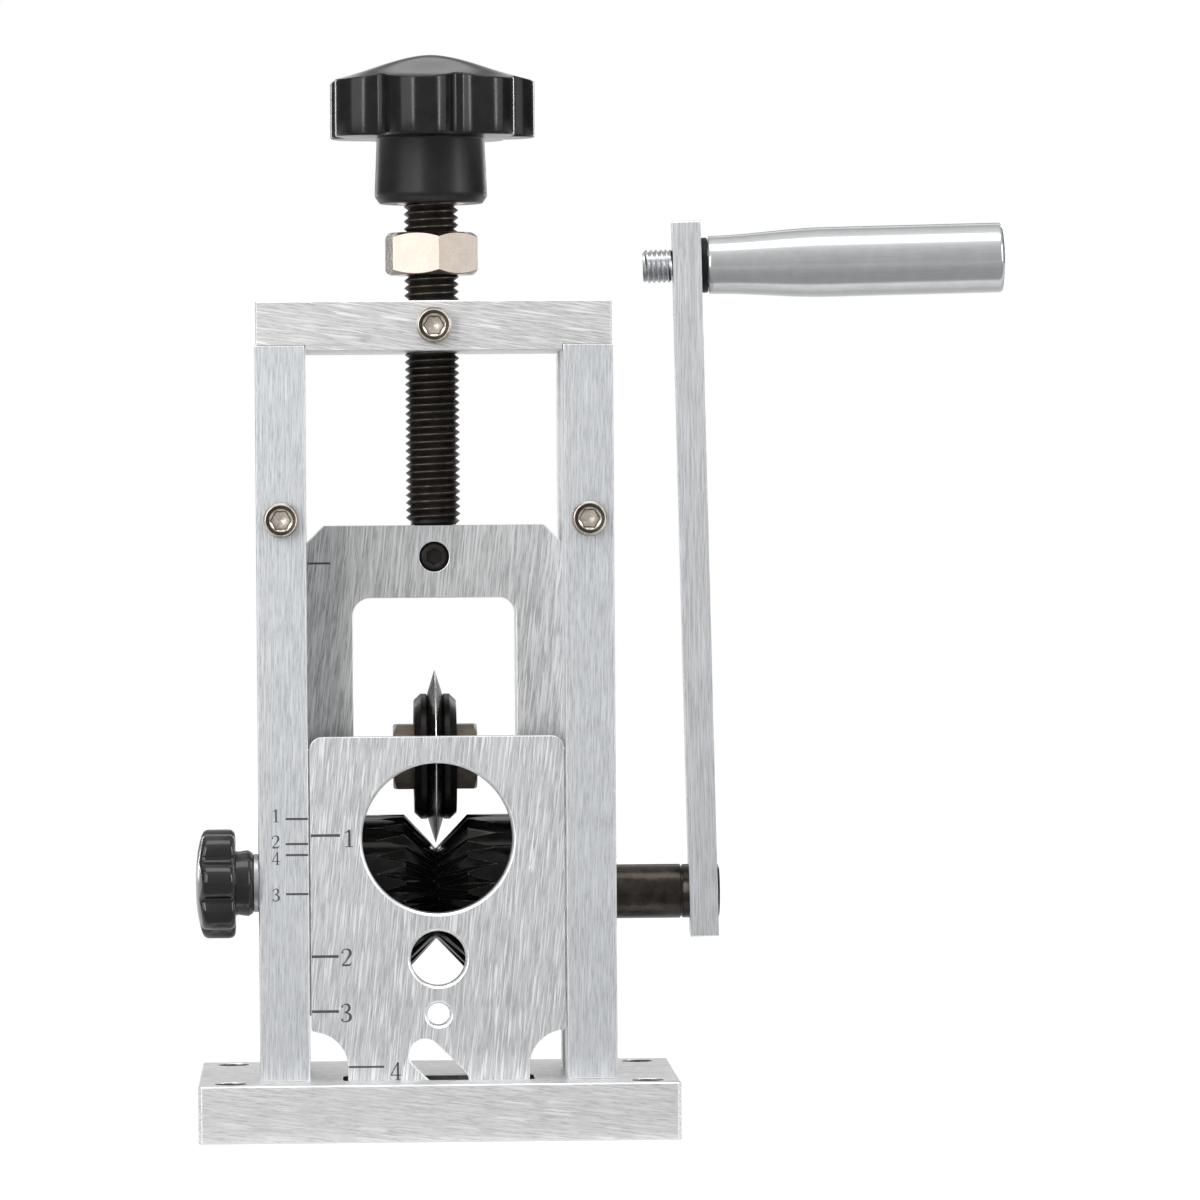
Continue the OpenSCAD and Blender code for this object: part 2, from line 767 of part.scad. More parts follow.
// Collars with a turned step on the outer face
module blade_collars() {
    collar_r = collar_d / 2;
    step = collar_edge / 3;
    bore_r = axle_d / 2 + seat_gap;
    color("dimgray") translate([0, work_y, blade_z]) both_sides() translate([blade_t / 2, 0, 0]) along_x()
        rotate_extrude($fn = 96) polygon([
            [bore_r, 0], [collar_r - step, 0], [collar_r, step], [collar_r, collar_t - collar_edge],
            [collar_r - collar_edge, collar_t], [collar_r - 2 * collar_edge, collar_t],
            [collar_r - 2 * collar_edge - step, collar_t - step], [bore_r, collar_t - step]
        ]);
}

module blade_nuts() {
    step = collar_edge / 3;
    color("dimgray") translate([0, work_y, blade_z]) both_sides()
        translate([blade_t / 2 + collar_t - step, 0, 0]) along_x() difference() {
            nut_body(blade_nut_af, blade_nut_h + step, false);
            translate([0, 0, -cut]) cylinder(r = axle_d / 2 + seat_gap, h = blade_nut_h + 2 * cut + step);
        }
}

module blade_axle() {
    half_l = channel_x - slide_gap - end_gap;
    edge = axle_d / 16;
    color("silver") translate([-half_l, work_y, blade_z]) along_x() rotate_extrude() polygon([
        [0, 0], [axle_d / 2 - edge, 0], [axle_d / 2, edge],
        [axle_d / 2, 2 * half_l - edge], [axle_d / 2 - edge, 2 * half_l], [0, 2 * half_l]
    ]);
}

// Outline of the guide plate seen from the front, standing on its foot
module guide_outline() {
    half_w = guide_w / 2;
    corner_c = foot_cut_r + foot_corner_r;
    corner_rise = sqrt(pow(corner_c, 2) - pow(foot_corner_r, 2));
    difference() {
        union() {
            translate([-half_w, foot_cut_h + corner_rise])
                square([guide_w, guide_h - guide_corner_r - foot_cut_h - corner_rise]);
            translate([guide_corner_r - half_w, foot_cut_h])
                square([guide_w - 2 * guide_corner_r, guide_h - foot_cut_h]);
            translate([-foot_w / 2, 0]) square([foot_w, guide_h / 2]);
            for (x = [-1, 1]) {
                translate([x * (half_w - guide_corner_r), guide_h - guide_corner_r])
                    circle(r = guide_corner_r);
                translate([x * (half_w - foot_corner_r), foot_cut_h + corner_rise])
                    circle(r = foot_corner_r);
            }
        }
        for (x = [-1, 1]) translate([x * half_w, foot_cut_h]) circle(r = foot_cut_r);
    }
}

// Slanted slot for flat cable, with round ends, cut through the plate
module slot_cut() {
    rotate(-slot_4_slant) {
        translate([-slot_4_run / 2, -slot_4_w / 2]) square([slot_4_run, slot_4_w]);
        for (x = [-1, 1]) translate([x * slot_4_run / 2, 0]) circle(d = slot_4_w);
    }
}

module guide_plate() {
    tongue_z = foot_cut_h + foot_cut_r + 4 * foot_corner_r;
    tongue_h = guide_h - guide_corner_r - tongue_z;
    color("silver") translate([0, guide_mid_y, foot_z]) difference() {
        union() {
            translate([0, guide_t / 2, 0]) to_front() linear_extrude(guide_t) guide_outline();
            translate([-guide_w / 2 - tongue_w, -tongue_t / 2, tongue_z])
                cube([guide_w + 2 * tongue_w, tongue_t, tongue_h]);
        }
        translate([0, 0, hole_1_h]) wire_hole(hole_1_d, $fn = 128);
        translate([0, 0, hole_2_h]) wire_hole(hole_2_d);
        translate([0, 0, hole_3_h]) wire_hole(hole_3_d);
        translate([0, guide_t / 2 + cut, slot_4_h]) to_front() linear_extrude(guide_t + 2 * cut) slot_cut();
    }
}

module lock_washer() {
    edge = lock_washer_t / 5;
    bore_r = lock_stud_d / 2 + run_gap;
    color("silver") at_side_lock() rotate_extrude() polygon([
        [bore_r, 0], [lock_washer_d / 2, 0], [lock_washer_d / 2, lock_washer_t - edge],
        [lock_washer_d / 2 - edge, lock_washer_t], [bore_r, lock_washer_t]
    ]);
}

module lock_knob() {
    color("black") at_side_lock() translate([0, 0, lock_washer_t]) difference() {
        lobed_knob(lock_knob_d / 2, lock_rim_h, lock_dome_h, lock_hub_d / 2, lock_hub_h, lock_knob_turn);
        translate([0, 0, -cut])
            cylinder(r = lock_stud_d / 2 + seat_gap, h = lock_hub_h + lock_rim_h / 2 + seat_gap + cut);
    }
}

// Stud that clamps the tongue of the guide plate
module lock_stud() {
    reach = outer_x - guide_w / 2 - tongue_w - end_gap;
    l = reach + lock_washer_t + lock_hub_h + lock_rim_h / 2;
    edge = lock_stud_d / 10;
    color("silver") at_side_lock() translate([0, 0, -reach]) rotate_extrude() polygon([
        [0, 0], [lock_stud_d / 2 - edge, 0], [lock_stud_d / 2, edge], [lock_stud_d / 2, l], [0, l]
    ]);
}

// Shaft with a shallow groove beside the crank arm
module drive_shaft() {
    shaft_r = shaft_d / 2;
    edge = shaft_d / 20;
    left = end_gap - outer_x;
    right = arm_x + arm_t + shaft_proud;
    groove = arm_x - 2 * edge;
    color("dimgray") translate([0, work_y, drive_z]) along_x() rotate_extrude() polygon([
        [0, left], [shaft_r - edge, left], [shaft_r, left + edge], [shaft_r, groove - edge],
        [shaft_r - edge, groove - edge], [shaft_r - edge, groove], [shaft_r, groove],
        [shaft_r, right - edge / 2], [shaft_r - edge / 2, right], [0, right]
    ]);
}

// Cutter for one straight stretch of a notch: a V channel whose bottom line runs from one point
// to another, given as places along the axis and radii, and whose walls are half_w apart from
// the middle at the given depth
module notch_cutter(from, to, depth, half_w, over) {
    run = to - from;
    l = norm(run);
    translate([from[0], 0, from[1]]) rotate([0, -atan2(run[1], run[0]), 0]) rotate([90, 0, 90])
        translate([0, 0, -over[0]]) linear_extrude(l + over[0] + over[1])
            polygon([[0, 0], [2 * half_w, 2 * depth], [-2 * half_w, 2 * depth]]);
}

// One notch of the right flank: deepest at the edge of the groove, it runs down the flank and
// out on the wheel's surface to a point
module flank_notch() {
    half_g = groove_w / 2;
    roller_r = roller_d / 2;
    half_w = notch_share * PI * roller_r / tooth_count;
    flank_slope = groove_depth / half_g;
    crest = [half_g, roller_r - notch_depth];
    start = [notch_start, groove_root_r + flank_slope * notch_start - notch_root_depth];
    tip = [half_g + notch_run, roller_r];
    flank_angle = atan2(crest[1] - start[1], crest[0] - start[0]);
    run_angle = atan2(notch_depth, notch_run);
    notch_cutter(start, crest, notch_depth * cos(flank_angle), half_w, [0, notch_depth / 2]);
    notch_cutter(crest, tip, notch_depth * cos(run_angle), half_w, [notch_depth / 2, notch_run]);
}

// Right feed wheel about the drive axis: a cone that makes half of the V groove, with a ring of
// pointed teeth shifted by a share of their pitch, and a hub with a set screw
module feed_wheel(shift_share) {
    roller_r = roller_d / 2;
    half_w = roller_w / 2;
    bore_r = shaft_d / 2 + seat_gap;
    edge = roller_w / 50;
    difference() {
        along_x() rotate_extrude($fn = 128) polygon([
            [bore_r, 0], [groove_root_r, 0], [roller_r, groove_w / 2], [roller_r, half_w - edge],
            [roller_r - edge, half_w], [hub_d / 2, half_w], [hub_d / 2, hub_end], [bore_r, hub_end]
        ]);
        for (i = [0 : tooth_count - 1]) {
            rotate([tooth_turn + (i + shift_share) * 360 / tooth_count, 0, 0]) flank_notch();
        }
        at_wheel_set_screw() translate([0, 0, -cut]) cylinder(r = set_screw_d / 2 + seat_gap, h = hub_d);
    }
}

// Where the wheels' hubs end, just clear of the bushes
hub_end = inner_x - end_gap;

// Place of the right wheel's set screw, relative to the drive axis, standing on the shaft
module at_wheel_set_screw() {
    translate([(roller_w / 2 + hub_end) / 2, 0, shaft_d / 2 + seat_gap]) children();
}

module right_feed_wheel() {
    color("dimgray") translate([0, work_y, drive_z]) feed_wheel(right_shift_share);
}

module left_feed_wheel() {
    color("dimgray") translate([0, work_y, drive_z]) mirror([1, 0, 0]) feed_wheel(left_shift_share);
}

module wheel_set_screws() {
    l = (hub_d - shaft_d) / 2 - 4 * seat_gap;
    color("dimgray") translate([0, work_y, drive_z]) both_sides() at_wheel_set_screw()
        set_screw(set_screw_d, l, socket_af * 0.8);
}

// Outline of the crank arm seen from the side, from its lower hole up
module arm_outline() {
    length = crank_throw + 2 * arm_end;
    flat_l = length - 2 * arm_corner_r;
    translate([-arm_w / 2, arm_corner_r - arm_end]) square([arm_w, flat_l]);
    translate([arm_corner_r - arm_w / 2, -arm_end]) square([arm_w - 2 * arm_corner_r, length]);
    for (x = [-1, 1], y = [0, flat_l]) {
        translate([x * (arm_w / 2 - arm_corner_r), y + arm_corner_r - arm_end]) circle(r = arm_corner_r);
    }
}

// Children lean and twist with the arm about the drive axis, from the middle of the arm's thickness
module on_arm() {
    translate([arm_x + arm_t / 2, work_y, drive_z]) rotate([0, -arm_lean, -arm_twist]) children();
}

// The bore for the shaft runs along the drive axis, whatever the arm's lean
module crank_arm() {
    color("lightslategray") difference() {
        on_arm() difference() {
            translate([-arm_t / 2, 0, 0]) rotate([90, 0, 90]) linear_extrude(arm_t) difference() {
                arm_outline();
                translate([0, crank_throw]) circle(r = stud_d / 2 + seat_gap);
            }
            translate([0, 0, -arm_end - cut]) cylinder(r = set_screw_d / 2 + seat_gap, h = arm_end + cut);
        }
        translate([arm_x - arm_t, work_y, drive_z]) along_x()
            cylinder(r = shaft_d / 2 + seat_gap, h = 3 * arm_t);
    }
}

module arm_set_screw() {
    l = arm_end - shaft_d / 2 - 3 * end_gap;
    color("dimgray") on_arm() translate([0, 0, -shaft_d / 2 - 2 * end_gap])
        mirror([0, 0, 1]) set_screw(set_screw_d, l, socket_af * 0.8);
}

// Places along the handle, measured from the outer face of the crank arm
grip_start = handle_washer_t + end_gap;
grip_end = grip_start + grip_l;

// Children stand on the outer face of the arm and point away from it
module at_handle() {
    on_arm() translate([arm_t / 2, 0, crank_throw]) along_x() children();
}

// Spindle: stud through the arm, plain length in the grip and a low domed head at the far end
module handle_spindle() {
    edge = stud_d / 14;
    stud_r = stud_d / 2;
    head_r = spindle_head_d / 2;
    tip = -arm_t - stud_out;
    seat = grip_end - head_h;
    color("silver") at_handle() rotate_extrude() polygon([
        [0, tip], [stud_r - edge, tip], [stud_r, tip + edge], [stud_r, 0], [spindle_d / 2, 0],
        [spindle_d / 2, seat + end_gap], [head_r, seat + end_gap], [head_r, grip_end - head_h / 4],
        [head_r / 2, grip_end], [0, grip_end + head_h / 12]
    ]);
}

module handle_washer() {
    edge = handle_washer_t / 4;
    bore_r = spindle_d / 2 + seat_gap;
    washer_r = handle_washer_d / 2;
    color("black") at_handle() rotate_extrude() polygon([
        [bore_r, 0], [washer_r - edge, 0], [washer_r, edge],
        [washer_r, handle_washer_t - edge], [washer_r - edge, handle_washer_t], [bore_r, handle_washer_t]
    ]);
}

// Radius of the grip at a share of the length of its neck
function neck_r(share) =
    grip_neck_d / 2 + (grip_d - grip_neck_d) / 2 * (3 * pow(share, 2) - 2 * pow(share, 3));

// Grip: a turned sleeve that swells from a slim neck, with a rounded far edge
module handle_grip() {
    bore_r = spindle_d / 2 + run_gap;
    head_bore_r = spindle_head_d / 2 + end_gap;
    seat = grip_end - head_h;
    color("gainsboro") at_handle() rotate_extrude($fn = 96) polygon(concat(
        [[bore_r, grip_start]],
        [for (i = [0 : grip_steps])
            let (share = i / grip_steps) [neck_r(share), grip_start + share * grip_neck_l]],
        [for (i = [0 : edge_steps])
            let (turn = 90 * i / edge_steps)
            [grip_d / 2 - grip_edge_r * (1 - cos(turn)), grip_end - grip_edge_r * (1 - sin(turn))]],
        [[head_bore_r, grip_end], [head_bore_r, seat], [bore_r, seat]]
    ));
}

base_plate();
left_rail();
right_rail();
left_side_plate();
right_side_plate();
top_beam();
rail_screws();
beam_lock_screw();
beam_screws();
base_screws();
left_bush();
right_bush();
blade_carrier();
keeper_screw();
lead_screw();
star_knob();
knob_insert();
lock_nut();
stripping_blade();
blade_collars();
blade_nuts();
blade_axle();
guide_plate();
lock_washer();
lock_knob();
lock_stud();
drive_shaft();
left_feed_wheel();
right_feed_wheel();
wheel_set_screws();
crank_arm();
arm_set_screw();
handle_spindle();
handle_washer();
handle_grip();
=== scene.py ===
"""Hand crank wire stripper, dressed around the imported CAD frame."""
import math

import bmesh
import bpy
from mathutils import Matrix, Vector


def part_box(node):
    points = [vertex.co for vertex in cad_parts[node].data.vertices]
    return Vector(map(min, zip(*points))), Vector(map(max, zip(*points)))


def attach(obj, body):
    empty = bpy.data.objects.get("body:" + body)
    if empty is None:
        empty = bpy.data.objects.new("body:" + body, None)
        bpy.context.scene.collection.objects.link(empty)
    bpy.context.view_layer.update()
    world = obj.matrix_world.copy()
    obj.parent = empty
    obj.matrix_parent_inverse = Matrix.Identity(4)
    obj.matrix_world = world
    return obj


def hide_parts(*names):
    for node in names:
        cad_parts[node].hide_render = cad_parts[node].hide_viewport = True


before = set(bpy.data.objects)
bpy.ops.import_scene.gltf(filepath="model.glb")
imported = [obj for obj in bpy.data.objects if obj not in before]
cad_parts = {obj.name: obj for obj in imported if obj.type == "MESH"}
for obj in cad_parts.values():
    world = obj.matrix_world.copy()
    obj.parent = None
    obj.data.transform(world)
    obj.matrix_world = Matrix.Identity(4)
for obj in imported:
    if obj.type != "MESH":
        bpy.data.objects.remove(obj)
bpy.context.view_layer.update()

# Places in millimetres, in the frame's axes: X to the right, Y to the back, Z up
MM = 0.001
WORK_Y = 4.0  # the middle plane of screw, blade and shaft
DRIVE_Z = 47.6  # axis of the drive shaft
BLADE_Z = 75.4  # axis of the blade
BLADE_AT = (0.0, WORK_Y, BLADE_Z)
KNOB_Z = 187.5  # foot of the star knob's hub
CARRIER_TOP = 122.3
RAIL_Y = -20.0  # front face of rails and beam
PLATE_Y = -19.0  # front face of the guide plate
CARRIER_Y = WORK_Y - 7.85  # front face of the blade carrier
RAIL_SCREWS = ((-30.75, 123.6), (30.75, 123.6))  # (x, z) of the cap screws
BEAM_SCREW = (0.0, 162.3)
SIDE_Y, SIDE_Z = -16.7, 51.1  # axis of the side knob
WELD = 0.004 * MM  # points closer than this are one
CENTRE = 0.001  # radius in millimetres of a ring that closes on its axis
OUTER_ZONE = 0.9 * MM  # faces nearer than this to a piece's outer sides aren't its bores or rims
# The crank arm leans and twists about its pivot, and the handle stands on its outer face
ARM_PIVOT = Vector((54.3, WORK_Y, DRIVE_Z))
ARM_LEAN, ARM_TWIST = math.radians(1.1), math.radians(1.9)
ARM_TURN = Matrix.Rotation(-ARM_TWIST, 3, "Z") @ Matrix.Rotation(-ARM_LEAN, 3, "Y")
HANDLE_AT = Vector((2.85, 0.0, 127.1))


# ---------------------------------------------------------------- materials
def arithmetic(tree, operation, a, b):
    """A math node's result. a and b are sockets or numbers."""
    made = tree.nodes.new("ShaderNodeMath")
    made.operation = operation
    for slot, value in zip(made.inputs, (a, b)):
        if hasattr(value, "links"):
            tree.links.new(value, slot)
        else:
            slot.default_value = value
    return made.outputs[0]


def colour_ramp(tree, source, stops):
    """Colours along a source that runs from 0 to 1. stops are (place, colour)."""
    made = tree.nodes.new("ShaderNodeValToRGB")
    elements = made.color_ramp.elements
    while len(elements) < len(stops):
        elements.new(0.5)
    for element, (place, colour) in zip(elements, stops):
        element.position = place
        element.color = (*colour, 1.0)
    tree.links.new(source, made.inputs["Fac"])
    return made.outputs["Color"]


class Mat:
    """A procedural material under construction."""

    def __init__(self, name, **settings):
        self.mat = bpy.data.materials.new(name)
        self.mat.use_nodes = True
        self.tree = self.mat.node_tree
        self.tree.nodes.clear()
        out = self.tree.nodes.new("ShaderNodeOutputMaterial")
        self.bsdf = self.tree.nodes.new("ShaderNodeBsdfPrincipled")
        self.tree.links.new(self.bsdf.outputs[0], out.inputs["Surface"])
        self.coords = self.tree.nodes.new("ShaderNodeTexCoord").outputs["Object"]
        self.set(**settings)

    def set(self, **settings):
        for key, value in settings.items():
            self.bsdf.inputs[key.replace("_", " ")].default_value = value

    def node(self, kind, **values):
        made = self.tree.nodes.new("ShaderNode" + kind)
        for key, value in values.items():
            made.inputs[key.replace("_", " ")].default_value = value
        return made

    def link(self, source, target):
        self.tree.links.new(source, target)

    def noise(self, scale, turn=(0, 0, 0), detail=3.0, rough=0.6, distort=0.0):
        """Noise from 0 to 1. scale is per metre along each axis, after a turn in degrees."""
        source = self.coords
        if any(turn):
            turned = self.node("Mapping", Rotation=tuple(math.radians(a) for a in turn))
            self.link(source, turned.inputs["Vector"])
            source = turned.outputs[0]
        mapping = self.node("Mapping", Scale=scale)
        self.link(source, mapping.inputs["Vector"])
        noise = self.node("TexNoise", Scale=1.0, Detail=detail, Roughness=rough, Distortion=distort)
        self.link(mapping.outputs[0], noise.inputs["Vector"])
        return noise.outputs["Fac"]

    def position(self):
        """Sockets X, Y and Z of the place on the piece, in metres."""
        split = self.node("SeparateXYZ")
        self.link(self.coords, split.inputs[0])
        return split.outputs

    def span(self, source, low, high, out_low, out_high):
        """The source's span from low to high, mapped to the one from out_low to out_high."""
        made = self.node("MapRange", From_Min=low, From_Max=high, To_Min=out_low, To_Max=out_high)
        self.link(source, made.inputs["Value"])
        return made.outputs["Result"]

    def math(self, operation, a, b):
        return arithmetic(self.tree, operation, a, b)

    def ramp(self, source, stops):
        return colour_ramp(self.tree, source, stops)

    def tinted(self, colour, factor, other):
        """The colour, mixed with the other one by factor."""
        made = self.node("Mix")
        made.data_type = "RGBA"
        sockets = (made.inputs[0], made.inputs[6], made.inputs[7])  # factor, A and B of the colour mix
        for slot, value in zip(sockets, (factor, colour, other)):
            if hasattr(value, "links"):
                self.link(value, slot)
            elif isinstance(value, tuple):
                slot.default_value = (*value, 1.0)
            else:
                slot.default_value = value
        return made.outputs[2]

    def colour(self, source):
        self.link(source, self.bsdf.inputs["Base Color"])

    def roughness(self, source, low, high, out_low, out_high):
        self.link(self.span(source, low, high, out_low, out_high), self.bsdf.inputs["Roughness"])

    def bump(self, source, strength, distance):
        made = self.node("Bump", Strength=strength, Distance=distance)
        self.link(source, made.inputs["Height"])
        self.link(made.outputs[0], self.bsdf.inputs["Normal"])


def grey(value, warm=0.0):
    """A grey of at most 0.97, with more red and less blue by the share warm."""
    value = min(value, 0.97)
    return (value * (1 + warm), value, value * (1 - warm))


def brushed(name, along, slant=0.0, base=0.60, spread=0.10, warm=0.0, rough=0.40, scratches=0.5, long=1.0,
            across=1.0, shade=None):
    """Brushed metal: fine streaks along one axis, with dark cuts and bright glints.

    slant turns the streaks about Y in degrees. long and across stretch them, scratches is the share of
    the cuts and glints, and shade is painted shade that darkens the left of the piece by that share.
    """
    m = Mat(name, Metallic=1.0)
    axis = "xyz".index(along)

    def stretch(width, length):
        scale = [width * across] * 3
        scale[axis] = length / long
        return tuple(scale)

    # Scales per metre across the streaks and along them, from fine to broad
    turn = (0, slant, 0)
    fine = m.noise(stretch(3500, 260), turn, 2.0, 0.65)
    middle = m.noise(stretch(2300, 100), (0, slant * 1.2, 0), 3.0, 0.6)
    broad = m.noise(stretch(150, 40), turn, 2.0, 0.5)
    marks = m.noise(stretch(3400, 130), (0, slant * 1.5, 0), 2.0, 0.5, 0.3)
    glints = m.noise(stretch(3800, 110), (0, slant * 0.9, 0), 0.0, 0.5)
    mixed = m.math("ADD", m.math("MULTIPLY", fine, 0.64), m.math("MULTIPLY", middle, 0.26))
    mixed = m.math("ADD", mixed, m.math("MULTIPLY", broad, 0.10))
    tone = m.ramp(mixed, [(0.40, grey(base - spread, warm)), (0.50, grey(base, warm)),
                          (0.60, grey(base + spread * 0.8, warm))])
    cut = m.span(marks, 0.66, 0.76, 0.0, scratches)
    glint = m.span(glints, 0.58, 0.66, 0.0, scratches)
    tone = m.tinted(tone, cut, grey(base - 1.6 * spread, warm))
    tone = m.tinted(tone, glint, grey(base + 1.6 * spread, warm))
    # Painted shade: the piece darker towards the left
    if shade:
        tone = m.tinted(tone, m.span(m.position()["X"], -0.026, 0.016, shade, 0.0), grey(0.02))
    m.colour(tone)
    m.roughness(mixed, 0.38, 0.62, rough + 0.08, rough - 0.08)
    m.bump(m.math("SUBTRACT", mixed, m.math("MULTIPLY", cut, 0.4)), 0.5, 0.00006)
    return m.mat


def dark_steel(name, low, high, rough=0.34, warm=0.06, metallic=0.75, crest=None, edge=1.0):
    """Oiled black oxide, brownish where it wears.

    crest is the (radius, shade) of a worn thread about the work axis, edge the tint at grazing angles.
    """
    m = Mat(name, Metallic=metallic)
    m.set(Specular_IOR_Level=0.35, Specular_Tint=(edge, edge, edge, 1))
    cloud = m.noise((420, 420, 420), detail=4.0)
    grain = m.noise((5200, 5200, 5200), detail=2.0)
    mixed = m.math("ADD", m.math("MULTIPLY", cloud, 0.7), m.math("MULTIPLY", grain, 0.3))
    tone = m.ramp(mixed, [(0.32, grey(low, warm)), (0.68, grey(high, warm * 1.6))])
    if crest:
        radius, shade = crest
        at = m.position()
        away = m.math("SUBTRACT", at["Y"], WORK_Y * MM)
        square = m.math("ADD", m.math("MULTIPLY", at["X"], at["X"]), m.math("MULTIPLY", away, away))
        worn = m.span(m.math("POWER", square, 0.5), (radius - 0.12) * MM, (radius - 0.02) * MM, 0.0, 1.0)
        patchy = m.span(m.noise((900, 900, 250), detail=2.0), 0.38, 0.62, 0.25, 1.0)
        tone = m.tinted(tone, m.math("MULTIPLY", worn, patchy), grey(shade, warm * 1.8))
    m.colour(tone)
    m.roughness(mixed, 0.3, 0.7, rough - 0.07, rough + 0.10)
    m.bump(grain, 0.12, 0.00003)
    return m.mat


def bright_metal(name, low, high, rough, along=None, grain=2600, bump=0.1, metallic=1.0):
    """Plated or turned metal between two colours, with a faint grain that may run along an axis."""
    m = Mat(name, Metallic=metallic)
    scale = [grain] * 3
    if along:
        scale["xyz".index(along)] = grain * 0.03
    lines = m.noise(tuple(scale), detail=3.0)
    cloud = m.noise((300, 300, 300), detail=3.0)
    mixed = m.math("ADD", m.math("MULTIPLY", cloud, 0.5), m.math("MULTIPLY", lines, 0.5))
    m.colour(m.ramp(mixed, [(0.35, low), (0.65, high)]))
    m.roughness(mixed, 0.3, 0.7, rough * 1.25, rough * 0.8)
    m.bump(lines, bump, 0.00003)
    return m.mat


def black_plastic(name, rough, specular, satin=None):
    """Moulded black plastic. satin is (from, to, roughness): heights between which the gloss starts."""
    m = Mat(name, IOR=1.5, Specular_IOR_Level=specular)
    cloud = m.noise((260, 260, 260), detail=3.0)
    grain = m.noise((3800, 3800, 3800), detail=2.0)
    m.colour(m.ramp(cloud, [(0.35, (0.0035, 0.0035, 0.004)), (0.65, (0.007, 0.007, 0.0075))]))
    gloss = m.span(cloud, 0.3, 0.7, rough * 0.8, rough * 1.3)
    if satin:
        low, high, dull = satin
        below = m.span(m.position()["Z"], low * MM, high * MM, dull, 0.0)
        gloss = m.math("MAXIMUM", gloss, below)
    m.link(gloss, m.bsdf.inputs["Roughness"])
    m.bump(grain, 0.08, 0.00002)
    return m.mat


ALU_RAIL = brushed("brushed_rail", "z", slant=-1.0, base=0.67, spread=0.18, warm=-0.03, scratches=0.5)
ALU_SIDE = brushed("brushed_side", "z", slant=0.0, base=0.80, spread=0.15, rough=0.36, warm=-0.01)
ALU_GUIDE = brushed("brushed_guide", "z", slant=-6.5, base=0.66, spread=0.19, warm=-0.02, scratches=0.9)
# The carrier gets painted shade on its left
ALU_CARRIER = brushed("brushed_carrier", "z", slant=-6.5, base=0.58, spread=0.18, warm=-0.01, scratches=0.7,
                      shade=0.34)
ALU_BEAM = brushed("brushed_beam", "x", slant=-9.5, base=0.68, spread=0.20, scratches=0.9)
ALU_BASE = brushed("brushed_base", "x", slant=-6.5, base=0.79, spread=0.23, scratches=0.9)
# Painted highlight for the feed wheels' broken edges
OXIDE_EDGE_HIGHLIGHT = bright_metal("painted_highlight_oxide_edge", (0.34, 0.33, 0.31), (0.62, 0.60, 0.57), 0.30)
# Painted highlight for the broken edges and slanted rims of the aluminium parts
ALU_EDGE_HIGHLIGHT = bright_metal("painted_highlight_edge", (0.84, 0.84, 0.84), (0.95, 0.95, 0.95), 0.34)
# Painted shade for the upright walls of the base's bores and slots
ALU_BORE_SHADE = bright_metal("painted_shade_bore", (0.10, 0.10, 0.10), (0.20, 0.20, 0.20), 0.5)
OXIDE = dark_steel("black_oxide", 0.006, 0.020)
OXIDE_KEEPER = dark_steel("grey_oxide", 0.012, 0.035, rough=0.36)
OXIDE_SCREW = dark_steel("black_oxide_thread", 0.010, 0.026, rough=0.34, warm=0.12, metallic=0.25,
                         crest=(5.5, 0.08))
OXIDE_WHEEL = dark_steel("black_oxide_wheel", 0.003, 0.009, rough=0.15)
OXIDE_SHAFT = dark_steel("black_oxide_shaft", 0.016, 0.050, rough=0.21, warm=0.10, metallic=0.9)
OXIDE_NUT = dark_steel("worn_oxide_nut", 0.04, 0.11, rough=0.34, warm=0.14)
NICKEL = bright_metal("nickel_nut", (0.39, 0.342, 0.296), (0.435, 0.384, 0.336), 0.20)
NICKEL_CAP = bright_metal("nickel_cap", (0.24, 0.215, 0.185), (0.38, 0.345, 0.30), 0.26)
# Cap screw heads: painted highlight on rims and socket floors, painted shade on faces and socket walls
NICKEL_RIM_HIGHLIGHT = bright_metal("nickel_rim_painted_highlight", (0.34, 0.31, 0.27), (0.80, 0.75, 0.66), 0.30, metallic=0.9)
NICKEL_FACE_SHADE = bright_metal("nickel_face_painted_shade", (0.035, 0.03, 0.022), (0.10, 0.085, 0.066), 0.34)
NICKEL_FLOOR_HIGHLIGHT = bright_metal("nickel_floor_painted_highlight", (0.34, 0.30, 0.24), (0.80, 0.74, 0.64), 0.30, metallic=0.8)
ZINC_ARM = brushed("zinc_arm", "z", base=0.64, spread=0.17, warm=-0.025, rough=0.36, scratches=0.5, long=1.4,
                   across=1.2)
ZINC = bright_metal("zinc", (0.48, 0.49, 0.51), (0.66, 0.67, 0.68), 0.24)
ZINC_DULL = bright_metal("zinc_dull", (0.30, 0.30, 0.31), (0.46, 0.46, 0.47), 0.34)
CHROME = bright_metal("chrome_grip", (0.51, 0.525, 0.53), (0.58, 0.595, 0.60), 0.17, "x", 3000, 0.04)
BLADE = dark_steel("ground_blade", 0.05, 0.13, rough=0.26, warm=0.03, metallic=1.0, edge=0.5)
BRONZE = bright_metal("bronze", (0.48, 0.33, 0.17), (0.62, 0.44, 0.24), 0.40)
BRASS = bright_metal("brass", (0.60, 0.46, 0.20), (0.74, 0.58, 0.30), 0.25)
PLASTIC = black_plastic("black_knob", 0.15, 0.3, satin=(200.6, 201.2, 0.36))
PLASTIC_SIDE = black_plastic("black_side_knob", 0.13, 0.5)
NYLON = black_plastic("black_nylon", 0.4, 0.2)


def ink_material():
    m = Mat("mark_ink", Roughness=0.6)
    speck = m.noise((6000, 6000, 6000), detail=2.0)
    m.colour(m.ramp(speck, [(0.35, grey(0.02)), (0.65, grey(0.06))]))
    m.roughness(speck, 0.3, 0.7, 0.5, 0.7)
    return m.mat


INK = ink_material()


# ------------------------------------------------------------------- pieces
def place(name, mesh, body, material, slot=None, replaced=()):
    """Puts a mesh in the scene as a piece that rides on a body."""
    piece = bpy.data.objects.new(name, mesh)
    bpy.context.scene.collection.objects.link(piece)
    mesh.materials.clear()
    mesh.materials.append(material)
    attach(piece, body)
    if replaced:
        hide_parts(*replaced)
    return piece


